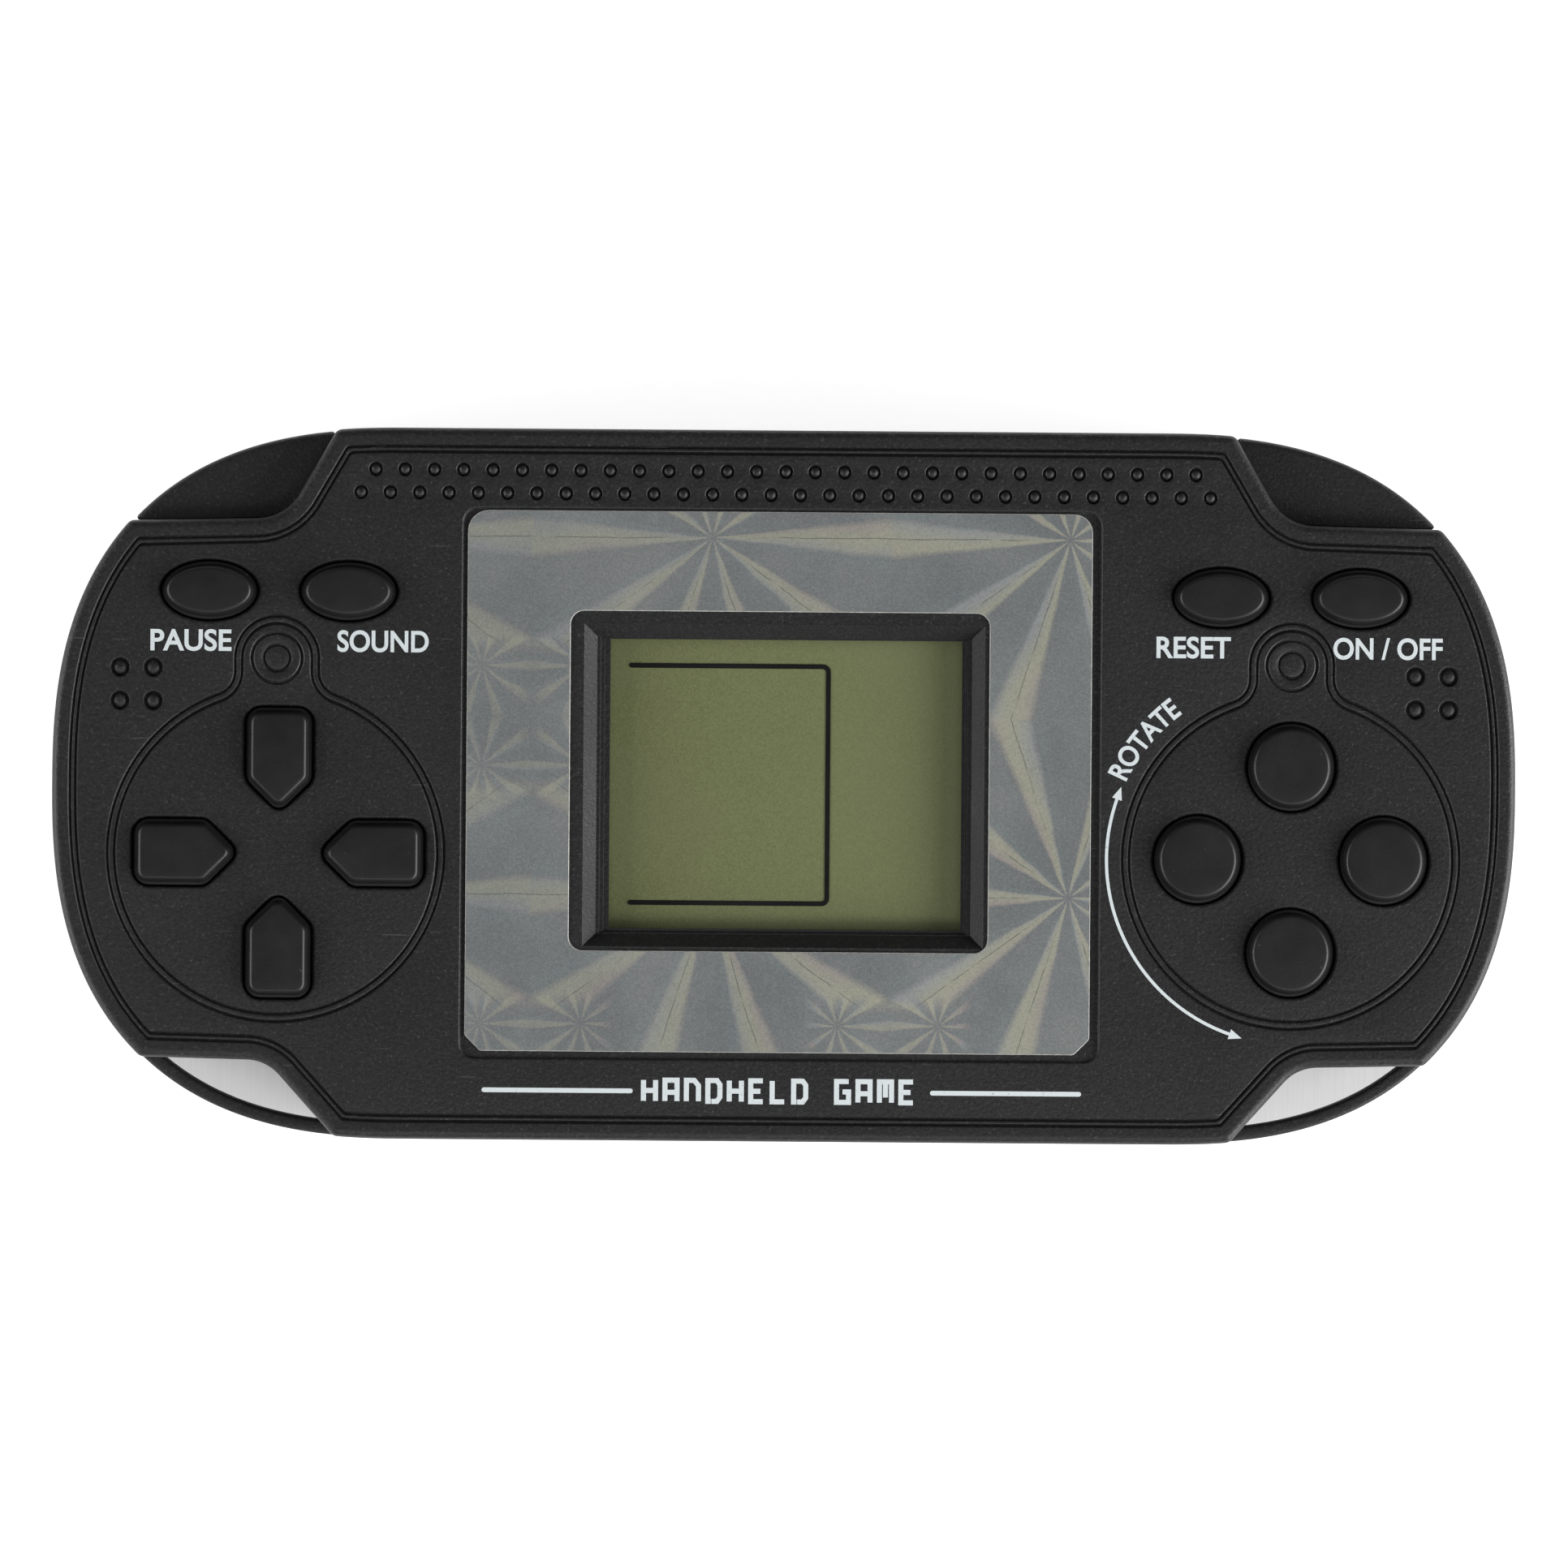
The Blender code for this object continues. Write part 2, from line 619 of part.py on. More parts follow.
def inner_parts(kinds):
    main_pcb(kinds["board"])
    half_x, half_y = PANEL_HALF
    sheet("lcd_window", (-half_x, -half_y), (half_x, half_y), 17.5, 18.1, kinds["clear"])
    sheet("lcd_panel", (-half_x, -half_y), (half_x, half_y), 16.2, 17.2, kinds["lcd"])
    sheet("lcd_reflector", (0.5 - half_x, -12.8), (half_x - 0.5, half_y - 0.5), 15.65, 15.9, kinds["foil"])
    sheet("lcd_connector_strip", (1 - half_x, -half_y), (half_x - 1, 2 - half_y), 15.3, 15.9, kinds["rubber"])
    as_part(cylinder("chip_blob", 5.0, PCB_LOW - GAP - 1.5, PCB_LOW - GAP, 38.0, 14.0, 6.0), kinds["epoxy"])
    as_part(cylinder("piezo_buzzer", 9.5, 1.9, 2.5, *BUZZER, sides=24), kinds["brass"])
    as_part(cylinder("power_capacitor", 2.5, 6.5, PCB_LOW - GAP, -38.0, -15.0), kinds["capacitor"])
    sheet("clock_resonator", (32.5, -16.5), (37.5, -14.0), 9.5, PCB_LOW - GAP, kinds["resonator"])
    cell("battery_upper", CELL_Y, True, kinds["cell"])
    cell("battery_lower", -CELL_Y, False, kinds["cell"])
    plate_x = ROOM_HALF[0] - GAP
    for name, side, low, high in (
        ("contact_plate_positive", -1, -9.6, -1.6),
        ("contact_plate_negative", -1, 1.6, 9.6),
        ("contact_plate_bridge", 1, -9.6, 9.6),
    ):
        ends = sorted((side * plate_x, side * (plate_x - 0.3)))
        sheet(name, (ends[0], low), (ends[1], high), 2.6, 11.6, kinds["contact"])
    spring_x = plate_x - 0.3 - GAP - 0.25
    cell_spring("battery_spring_upper", -spring_x, CELL_Y, 1, kinds["contact"])
    cell_spring("battery_spring_lower", spring_x, -CELL_Y, -1, kinds["contact"])
    wall = ROOM_HALF[0] + ROOM_WALL + 0.8
    wires = (
        ("battery_lead_red", [(-wall, -5, 4), (-wall - 1, -6, 4.5), (-wall - 2.5, -8, 7),
                              (-wall - 3, -9, 10)]),
        ("battery_lead_black", [(-wall, 5, 4), (-wall - 1, 6, 4.5), (-wall - 3, 7, 7), (-wall - 4, 8, 10)]),
        ("buzzer_lead_red", [(45, -1, 3.4), (46, 1, 3.6), (47, 3, 5.5), (47, 4, 9)]),
        ("buzzer_lead_black", [(39, -1, 3.4), (38, 1, 3.6), (36, 3, 5.5), (36, 4, 9)]),
    )
    for name, points in wires:
        kind = "red_wire" if name.endswith("red") else "black_wire"
        as_part(tube(name, [*points, (*points[-1][:2], PCB_LOW - GAP)], 0.5), kinds[kind])


def foil_sticker(kind):
    film = plate("foil_sticker", [rectangle(*FOIL, 2.0), rectangle(*FOIL_WINDOW, 1.2)], POCKET_FLOOR + 0.05,
                 POCKET_FLOOR + 0.2)
    return as_part(film, kind)


def keys(kinds):
    domes = {"keymat_left": [], "keymat_right": [], "keymat_upper_left": [], "keymat_upper_right": []}
    for name, hole, place in key_places():
        keycap(name, hole, place, kinds["key"])
        upper = "upper_" if name.endswith("_key") else ""
        domes[f"keymat_{upper}{'left' if place[0] < 0 else 'right'}"].append(place)
    for name, places in domes.items():
        middle = copysign(PAD_X, places[0][0])
        if "upper" in name:
            outline = rectangle(middle - 10.5, 13.0, middle + 10.5, 21.0, 2.0)
        else:
            outline = placed(ellipse(10.7, 10.7), middle, PAD_Y)
        keymat(name, outline, places, kinds["silicone"])


def shade_smooth():
    for part in PARTS.objects:
        part.data.shade_smooth()
        part.data.set_sharp_from_angle(angle=radians(35))


def main():
    kinds = {
        "case": material("black_case", (0.012, 0.012, 0.013), 0.55),
        "key": material("black_key", (0.015, 0.015, 0.016), 0.35),
        "foil": material("silver_foil", (0.62, 0.66, 0.68), 0.25, 0.8),
        "lcd": material("lcd_green", (0.33, 0.36, 0.16), 0.3),
        "clear": material("clear_window", (0.9, 0.9, 0.9), 0.05, 0.0, 0.2),
        "rubber": material("carbon_rubber", (0.05, 0.05, 0.05), 0.7),
        "silicone": material("grey_silicone", (0.35, 0.35, 0.34), 0.6),
        "board": material("brown_board", (0.30, 0.17, 0.06), 0.5),
        "epoxy": material("black_epoxy", (0.01, 0.01, 0.01), 0.2),
        "brass": material("brass_disc", (0.75, 0.55, 0.22), 0.3, 1.0),
        "capacitor": material("capacitor_sleeve", (0.02, 0.03, 0.12), 0.3),
        "resonator": material("resonator_case", (0.75, 0.35, 0.05), 0.4),
        "cell": material("cell_jacket", (0.06, 0.12, 0.30), 0.3, 0.3),
        "contact": material("nickel_contact", (0.7, 0.7, 0.68), 0.25, 1.0),
        "screw": material("zinc_screw", (0.6, 0.6, 0.62), 0.3, 1.0),
        "red_wire": material("red_wire", (0.5, 0.02, 0.02), 0.4),
        "black_wire": material("black_wire", (0.02, 0.02, 0.02), 0.4),
    }
    front_shell(kinds["case"])
    rear_shell(kinds["case"])
    battery_door(kinds["case"])
    foil_sticker(kinds["foil"])
    keys(kinds)
    inner_parts(kinds)
    for i, place in enumerate(CASE_SCREWS, 1):
        machine_screw(f"case_screw_{i}", kinds["screw"], place, 2.1, 1.1, HEAD_LOW, HEAD_HIGH, CASE_SCREW_TIP)
    for i, place in enumerate(PCB_SCREWS, 1):
        machine_screw(f"pcb_screw_{i}", kinds["screw"], place, 1.9, 0.8, 12.4, PCB_LOW - GAP, 17.2)
    machine_screw("battery_door_screw", kinds["screw"], (0, DOOR_SCREW_Y), 2.1, 0.8, 0.4, 1.1, 6.5)
    shade_smooth()


for leftover in list(bpy.data.objects):
    bpy.data.objects.remove(leftover, do_unlink=True)
PARTS = collection("handheld_lcd_game")
HELPERS = collection("helpers")
HELPERS.hide_render = True
main()
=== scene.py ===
"""Looks of a handheld LCD brick game that lies on its back with its keys up.

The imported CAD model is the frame. The two shells, the battery door, the foil, the keys and the screws are
modelled again here as finished mouldings, each from outlines that are followed by rings of points. The inner
parts keep their CAD meshes. +X runs to the right, +Y towards the case's upper edge and +Z out of its face.
Lengths are in millimetres until MM turns them into metres.
"""

from functools import partialmethod
from math import acos, atan2, copysign, cos, pi, radians, sin, sqrt, tan

import bmesh
import bpy
import numpy as np
from mathutils import Matrix, Vector
from mathutils.geometry import intersect_line_line_2d


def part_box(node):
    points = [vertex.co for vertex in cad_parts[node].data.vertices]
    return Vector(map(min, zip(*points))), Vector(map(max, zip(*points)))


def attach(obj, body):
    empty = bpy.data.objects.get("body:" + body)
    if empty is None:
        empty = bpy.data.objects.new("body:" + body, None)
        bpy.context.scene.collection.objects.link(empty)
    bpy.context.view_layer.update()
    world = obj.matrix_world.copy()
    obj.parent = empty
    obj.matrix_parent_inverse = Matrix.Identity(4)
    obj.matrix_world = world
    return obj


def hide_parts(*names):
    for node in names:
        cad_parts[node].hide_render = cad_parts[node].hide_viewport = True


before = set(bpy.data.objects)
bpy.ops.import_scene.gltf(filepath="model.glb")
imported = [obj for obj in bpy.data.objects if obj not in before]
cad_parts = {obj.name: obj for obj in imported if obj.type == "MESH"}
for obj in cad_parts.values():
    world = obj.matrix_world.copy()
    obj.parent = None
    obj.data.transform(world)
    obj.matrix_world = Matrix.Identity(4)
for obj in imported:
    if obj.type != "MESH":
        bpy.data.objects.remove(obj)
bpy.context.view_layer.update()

MM = 0.001
GAP = 0.3

# Case outline, as in the CAD: straight long edges and superellipse ends
HALF_LENGTH = 65.0
HALF_HEIGHT = 31.6
END_START = 33.6
END_POWER = 2.52
END_STEPS = 150
SHOULDER_TOP_X, SHOULDER_CORNER, SHOULDER_SIDE_X, SHOULDER_RADIUS = 39.9, (44.45, 23.55), 58.2, 4.5
STRAP_BOTTOM_X, STRAP_CORNER, STRAP_SIDE_X, STRAP_RADIUS = 39.8, (45.8, -24.7), 57.0, 4.0
CORNER_ROUNDING = 0.9
BORDER_INSETS = 1.5, 2.25       # the two sides of the groove that follows the outline
STRAP_BAR_INSETS = -0.02, 1.2
STRAP_BAR_REACH = 38.6, 58.2

# Heights
SIDE_WALL = 1.5
REAR_WALL = 1.6
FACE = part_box("front_shell")[1].z / MM
FRONT_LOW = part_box("front_shell")[0].z / MM
SPLIT = FRONT_LOW - GAP
SHOULDER_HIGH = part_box("rear_shell")[1].z / MM
STRAP_LOW, STRAP_HIGH = 14.0, 17.2
WALL_INSIDE = 18.4
POCKET_FLOOR = FACE - 0.35
BEZEL_LEDGE = FACE - 1.50
KEY_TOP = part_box("round_key_up")[1].z / MM
REAR_ROUNDING = 2.2
FACE_ROUNDING = 0.7
SHOULDER_ROUNDING = 0.6
NOTCH_DEPTH = 0.34
BAND_DEPTH = 0.07           # of the flat between a groove's two notches

# Face layout
PAD_X, PAD_Y, BOSS_Y = 45.05, -6.25, 11.05
PAD_REACH = 8.25
ARROW_TIP, ARROW_TAIL, ARROW_HALF_WIDTH = 3.3, 13.05, 3.1
ARROW_PAD_X = -44.8
KEYHOLE_OUTER, KEYHOLE_INNER = (15.1, 3.85, 2.0), (14.2, 2.95, 2.9)    # radius, half neck and blend
ROUND_KEY_HOLE = 4.05
FUNCTION_KEY_Y, FUNCTION_KEY_X, FUNCTION_KEY_HOLE = 17.0, (51.1, 38.75), (4.4, 2.75)
POCKET = (-28.6, -24.35, 28.1, 24.5)
FOIL = (-28.2, -23.7, 27.3, 24.35)
FOIL_WINDOW = (-19.0, -14.7, 18.2, 15.45)
BEZEL_OUTER = (17.8, 14.35)
BEZEL_STEPS = (     # inset at the left, right, top and bottom, and the height
    (0, 0, 0, 0, POCKET_FLOOR),
    (1.15, 1.12, 1.14, 1.14, BEZEL_LEDGE),
    (1.42, 1.46, 1.18, 1.20, BEZEL_LEDGE),
    (1.50, 1.52, 1.22, 1.26, BEZEL_LEDGE - 0.18),
    (1.80, 1.66, 1.26, 1.32, BEZEL_LEDGE - 0.18),
    (1.86, 1.72, 1.29, 1.38, BEZEL_LEDGE - 0.34),
    (2.30, 1.96, 1.34, 1.60, BEZEL_LEDGE - 0.34),
    (2.32, 2.00, 1.36, 1.62, WALL_INSIDE),
)
DOT_PITCH, DOT_RADIUS, DOT_ROWS = 2.6, 0.62, ((27.9, 29), (25.85, 30))
STUD_PLACE, STUD_HALF_PITCH, STUD_RADIUS = (57.5, 8.67), 1.475, 0.86

# Keys
KEY_GAP = 0.3
KEY_FLANGE = 0.8
FLANGE_LOW, FLANGE_HIGH = 17.3, 18.1

# Fasteners and battery compartment
SCREW_PLACES = ((59.0, 9.0), (56.0, -17.0), (31.5, -26.0))
CASE_SCREWS = [(side * x, y) for x, y in SCREW_PLACES for side in (-1, 1)]
PCB_SCREWS = [(side * 30.5, y) for y in (19.5, -18.5) for side in (-1, 1)]
FRONT_POSTS = (     # places, radius, foot, bore and the bore's end
    (CASE_SCREWS, 2.6, FRONT_LOW, 1.2, 16.3),
    (PCB_SCREWS, 2.0, 15.3, 0.9, 17.5),
)
REAR_POST, COUNTERBORE, COUNTERBORE_TOP, SCREW_HOLE = 3.6, 2.5, 7.1, 1.4
ROOM_HALF, ROOM_ROOF = (26.0, 11.8), 12.7
ROOM_RIM = 2.4
RECESS_HALF, RECESS_EAR, RECESS_ROOF = (27.2, 13.0), 3.6, 1.55
DOOR_HALF, DOOR_EAR, DOOR_OUTSIDE, DOOR_INSIDE = (26.9, 12.7), 3.3, 0.2, 1.25
DOOR_SCREW_Y = -15.6
BUZZER, VENT, VENT_RING = (42.0, -3.0), 0.7, 4.0

EDGE, FOOT, FLAT = 0.14, 0.07, 0.07     # rounding of a step's top and foot, and the flat rings beside them
SHARP_EDGE = radians(30)


# ---- outlines


def end_point(turn):
    """Point on the right end's curve, with turn from -pi/2 at its bottom to pi/2 at its top."""
    x = END_START + (HALF_LENGTH - END_START) * abs(cos(turn)) ** (2 / END_POWER)
    y = copysign(HALF_HEIGHT * abs(sin(turn)) ** (2 / END_POWER), turn)
    return x, y


def end_turn(x):
    return acos(((x - END_START) / (HALF_LENGTH - END_START)) ** (END_POWER / 2))


def end_run(first, last):
    steps = max(2, round(END_STEPS * abs(last - first) / pi))
    return [end_point(first + (last - first) * i / steps) for i in range(steps + 1)]


def arc(centre, radius, first, last, steps):
    turns = [first + (last - first) * i / steps for i in range(steps + 1)]
    return [(centre[0] + radius * cos(turn), centre[1] + radius * sin(turn)) for turn in turns]


def fillet(before, corner, after, radius, steps=8):
    """The arc that rounds a corner between two straight lines."""
    before, corner, after = Vector(before), Vector(corner), Vector(after)
    out, on = (before - corner).normalized(), (after - corner).normalized()
    half = out.angle(on) / 2
    centre = corner + (out + on).normalized() * (radius / sin(half))
    start, end = corner + out * (radius / tan(half)) - centre, corner + on * (radius / tan(half)) - centre
    first = atan2(start.y, start.x)
    sweep = (atan2(end.y, end.x) - first + pi) % (2 * pi) - pi
    return arc(centre, radius, first, first + sweep, steps)


def rounded(corners, radii, steps=8):
    count = len(corners)
    points = []
    for i, (corner, radius) in enumerate(zip(corners, radii)):
        points += fillet(corners[i - 1], corner, corners[(i + 1) % count], radius, steps)
    return points


def clockwise(outline):
    area = sum(outline[i - 1][0] * y - x * outline[i - 1][1] for i, (x, y) in enumerate(outline))
    return outline if area < 0 else outline[::-1]


def rectangle(low_x, low_y, high_x, high_y, radius=0.0):
    corners = [(low_x, low_y), (low_x, high_y), (high_x, high_y), (high_x, low_y)]
    return rounded(corners, [radius] * 4) if radius else corners


def mirrored(right):
    """A closed outline from its right half, which runs from the top to the bottom."""
    return right + [(-x, y) for x, y in reversed(right) if x > 0.0001]


def shoulder_step():
    top, side = end_point(end_turn(SHOULDER_TOP_X)), end_point(end_turn(SHOULDER_SIDE_X))
    return [top, *fillet(top, SHOULDER_CORNER, side, SHOULDER_RADIUS, 12), side]


def strap_step():
    side, bottom = end_point(-end_turn(STRAP_SIDE_X)), end_point(-end_turn(STRAP_BOTTOM_X))
    return [side, *fillet(side, STRAP_CORNER, bottom, STRAP_RADIUS, 12), bottom]


def case_outline(shoulders_cut, straps_cut):
    """The case seen from the front, with or without its stepped corners."""
    high, low = pi / 2, -pi / 2
    right = []
    if shoulders_cut:
        right += end_run(high, end_turn(SHOULDER_TOP_X))[:-1] + shoulder_step()[:-1]
        high = end_turn(SHOULDER_SIDE_X)
    if straps_cut:
        right += end_run(high, -end_turn(STRAP_SIDE_X))[:-1] + strap_step()[:-1]
        high = -end_turn(STRAP_BOTTOM_X)
    right += end_run(high, low)
    return mirrored(right)


def shifted(outline, depth):
    """A clockwise outline with each point moved inwards, or outwards where the depth is negative."""
    points = np.array(outline, float)
    along = points - np.roll(points, 1, axis=0)
    along /= np.linalg.norm(along, axis=1)[:, None]
    inward = np.stack([along[:, 1], -along[:, 0]], axis=1)
    after = np.roll(inward, -1, axis=0)
    return points + (inward + after) * (depth / (1 + (inward * after).sum(axis=1)))[:, None]


def distances(points, outline):
    """Each point's shortest way to a closed outline."""
    ends = np.array(outline, float)
    starts = np.roll(ends, 1, axis=0)
    along = ends - starts
    reach = np.array(points, float)[:, None] - starts
    share = np.clip((reach * along).sum(axis=2) / (along * along).sum(axis=1), 0, 1)
    return np.linalg.norm(reach - share[..., None] * along, axis=2).min(axis=1)


def inset(outline, depth):
    """A clockwise outline moved inwards, without the points that the move pushes past a corner."""
    moved = shifted(outline, depth)
    return [tuple(point) for point, near in zip(moved, distances(moved, outline)) if near > abs(depth) - 0.01]


def softened(outline, radius):
    """An outline whose sharp corners are rounded."""
    points = [Vector(point) for point in outline]
    count = len(points)
    corners = {}
    for i, point in enumerate(points):
        angle = (points[i - 1] - point).angle(points[(i + 1) % count] - point)
        if angle < radians(155):
            corners[i] = 1.15 * radius / tan(angle / 2) + 0.05
    kept = []
    for i, point in enumerate(points):
        if i in corners:
            sides = []
            for way in (-1, 1):
                step = way
                while (points[(i + step) % count] - point).length < corners[i]:
                    step += way
                sides.append(points[(i + step) % count])
            kept += fillet(sides[0], point, sides[1], radius)
        elif all((points[corner] - point).length > reach for corner, reach in corners.items()):
            kept.append(tuple(point))
    return kept


def keyhole(radius, neck, blend, side):
    """A round pad with a narrow neck that runs up to a round end."""
    blend_y = sqrt((radius + blend) ** 2 - (neck + blend) ** 2)
    meets = atan2(blend_y, neck + blend)
    right = arc((0, BOSS_Y - PAD_Y), neck, pi / 2, 0, 16)
    right += arc((neck + blend, blend_y), blend, pi, meets + pi, 10)
    right += arc((0, 0), radius, meets, -pi / 2, 64)[1:]
    return clockwise([(side * PAD_X + x, PAD_Y + y) for x, y in mirrored(right)])


def arrow_outline(turn, middle):
    """A key like a home plate, whose tip points back at the pad's middle. Turn is its bearing, in degrees."""
    half, tail = ARROW_HALF_WIDTH, (ARROW_TAIL - ARROW_TIP) / 2
    corners = [(-tail, 0), (half - tail, half), (tail, half), (tail, -half), (half - tail, -half)]
    points = rounded(corners, (1.2, 1.5, 1.5, 1.5, 1.5), 6)
    turned = Matrix.Rotation(radians(turn), 2)
    return clockwise([tuple(Vector(middle) + turned @ Vector(point)) for point in points])


def ellipse(middle, half_x, half_y, steps=56):
    turns = [-2 * pi * i / steps for i in range(steps)]
    return [(middle[0] + half_x * cos(turn), middle[1] + half_y * sin(turn)) for turn in turns]


def circle(middle, radius, steps=32):
    return ellipse(middle, radius, radius, steps)


def cross(middle, reach, half_width):
    """The outline of a screw's cross recess."""
    quarter = [(-half_width, reach), (half_width, reach), (half_width, half_width)]
    points = []
    for _ in range(4):
        points += quarter
        quarter = [(y, -x) for x, y in quarter]
    return [(middle[0] + x, middle[1] + y) for x, y in points]


def with_ear(half, radius):
    """A rectangle about the origin with a round ear at the battery door's screw."""
    half_width = sqrt(radius ** 2 - (DOOR_SCREW_Y + half[1]) ** 2)
    turn = atan2(-half[1] - DOOR_SCREW_Y, half_width)
    corners = rectangle(-half[0], -half[1], half[0], half[1], 0.6)
    return corners + arc((0, DOOR_SCREW_Y), radius, turn, -pi - turn, 24)


def stroke(path, width, round_ends=True):
    """The outline of a line of some width, with round or square ends."""
    path = [Vector(point) for point in path]
    ways = [(path[i + 1] - path[i]).normalized() for i in range(len(path) - 1)]
    sides = []
    for i, point in enumerate(path):
        first, last = ways[max(i - 1, 0)], ways[min(i, len(ways) - 1)]
        mean = (first + last).normalized()
        across = Vector((-mean.y, mean.x)) * (width / 2 / mean.dot(first))
        sides.append((point + across, point - across))
    left, right = ([tuple(side[i]) for side in sides] for i in (0, 1))
    if round_ends:
        start, end = (atan2(way.y, way.x) for way in (ways[0], ways[-1]))
        left[-1:] = arc(path[-1], width / 2, end + pi / 2, end - pi / 2, 6)
        left[:1] = arc(path[0], width / 2, start - pi / 2, start - 3 * pi / 2, 6)
        right = right[1:-1]
    return clockwise(left + right[::-1])


# ---- meshes


def cliff(side, top, bottom, edge=EDGE):
    """A wall's (depth, height) points from its rounded top to its foot. Side is 1 for an island's outline
    and -1 for a hole's."""
    points = [(edge + FLAT, top), *arc((edge, top - edge), edge, pi / 2, pi, 4)]
    points += [*arc((-FOOT, bottom + FOOT), FOOT, 0, -pi / 2, 4), (-FOOT - FLAT, bottom)]
    return [(side * depth, height) for depth, height in points]


def through(top, bottom, edge=EDGE):
    """The same for a hole that goes right through a wall."""
    rim = arc((-edge, top - edge), edge, pi / 2, 0, 4)
    return [(-edge - FLAT, top), *rim, (0, bottom + 0.1), (-0.1, bottom)]


def mouth_edge(edge, low):
    """The rounded rim of a hole in a face that looks down."""
    return [(-edge - 0.1, low), *arc((-edge, low + edge), edge, -pi / 2, 0, 3)]


def notch(side):
    """The (depth, height) points of a groove's edge: a narrow notch between the face and the flat band."""
    points = [(0.16, 0), (0.06, 0.01), (0.0, 0.06), (-0.13, NOTCH_DEPTH), (-0.17, NOTCH_DEPTH),
              (-0.26, BAND_DEPTH + 0.03), (-0.33, BAND_DEPTH)]
    return [(side * depth, FACE - drop) for depth, drop in points]


class Shape:
    """A mesh built from rings of points that follow outlines."""

    def __init__(self):
        self.edit = bmesh.new()

    def ring(self, outline, height):
        return [self.edit.verts.new((x * MM, y * MM, height * MM)) for x, y in outline]

    def walls(self, outline, profile, shares=1.0):
        """Joins rings along an outline and gives the first and last. The profile's (depth, height) points say
        how far inside the outline each lies, and shares how much of that depth each of its points takes."""
        made = [self.ring(shifted(outline, depth * shares), height) for depth, height in profile]
        for first, second in zip(made, made[1:]):
            self.join(first, second)
        return made[0], made[-1]

    def join(self, first, second):
        for i, corner in enumerate(first):
            self.edit.faces.new((first[i - 1], corner, second[i], second[i - 1]))

    def floor(self, *rings):
        """A flat face inside the first ring, with the other rings as holes in it."""
        edges = []
        for ring in rings:
            for i, corner in enumerate(ring):
                pair = (ring[i - 1], corner)
                edges.append(self.edit.edges.get(pair) or self.edit.edges.new(pair))
        bmesh.ops.triangle_fill(self.edit, use_beauty=True, edges=edges, normal=(0, 0, 1))

    def crown(self, ring, rise, steps=4):
        """Closes a convex ring with a low dome."""
        middle = sum((corner.co for corner in ring), Vector()) / len(ring)
        outer = ring
        for i in range(1, steps):
            share = 1 - i / steps
            lift = Vector((0, 0, rise * MM * (1 - share ** 2)))
            inner = [self.edit.verts.new(middle + (corner.co - middle) * share + lift) for corner in ring]
            self.join(outer, inner)
            outer = inner
        top = self.edit.verts.new(middle + Vector((0, 0, rise * MM)))
        for j in range(len(ring)):
            self.edit.faces.new((outer[j - 1], outer[j], top))

    def finished(self, name, look, body="case", replaced=(), slot=None):
        """The shape as a smooth-shaded piece that rides on a body."""
        bmesh.ops.recalc_face_normals(self.edit, faces=self.edit.faces)
        mesh = bpy.data.meshes.new(name)
        self.edit.to_mesh(mesh)
        self.edit.free()
        mesh.shade_smooth()
        mesh.set_sharp_from_angle(angle=SHARP_EDGE)
        return piece(name, mesh, look, body, replaced)


def piece(name, mesh, look, body="case", replaced=()):
    made = bpy.data.objects.new(name, mesh)
    bpy.context.scene.collection.objects.link(made)
    mesh.materials.clear()
    mesh.materials.append(look)
    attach(made, body)
    if replaced:
        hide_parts(*replaced)
    return made


def plate(name, loops, low, high, look, slot):
    """Thin flat shapes, such as print."""
    shape = Shape()
    for i, loop in enumerate(loops):
        bottom, top = shape.walls(loop, [(0, low), (0, high + 0.001 * (i % 4))])
        shape.floor(bottom)
        shape.floor(top)
    return shape.finished(name, look, slot=slot)


# ---- materials


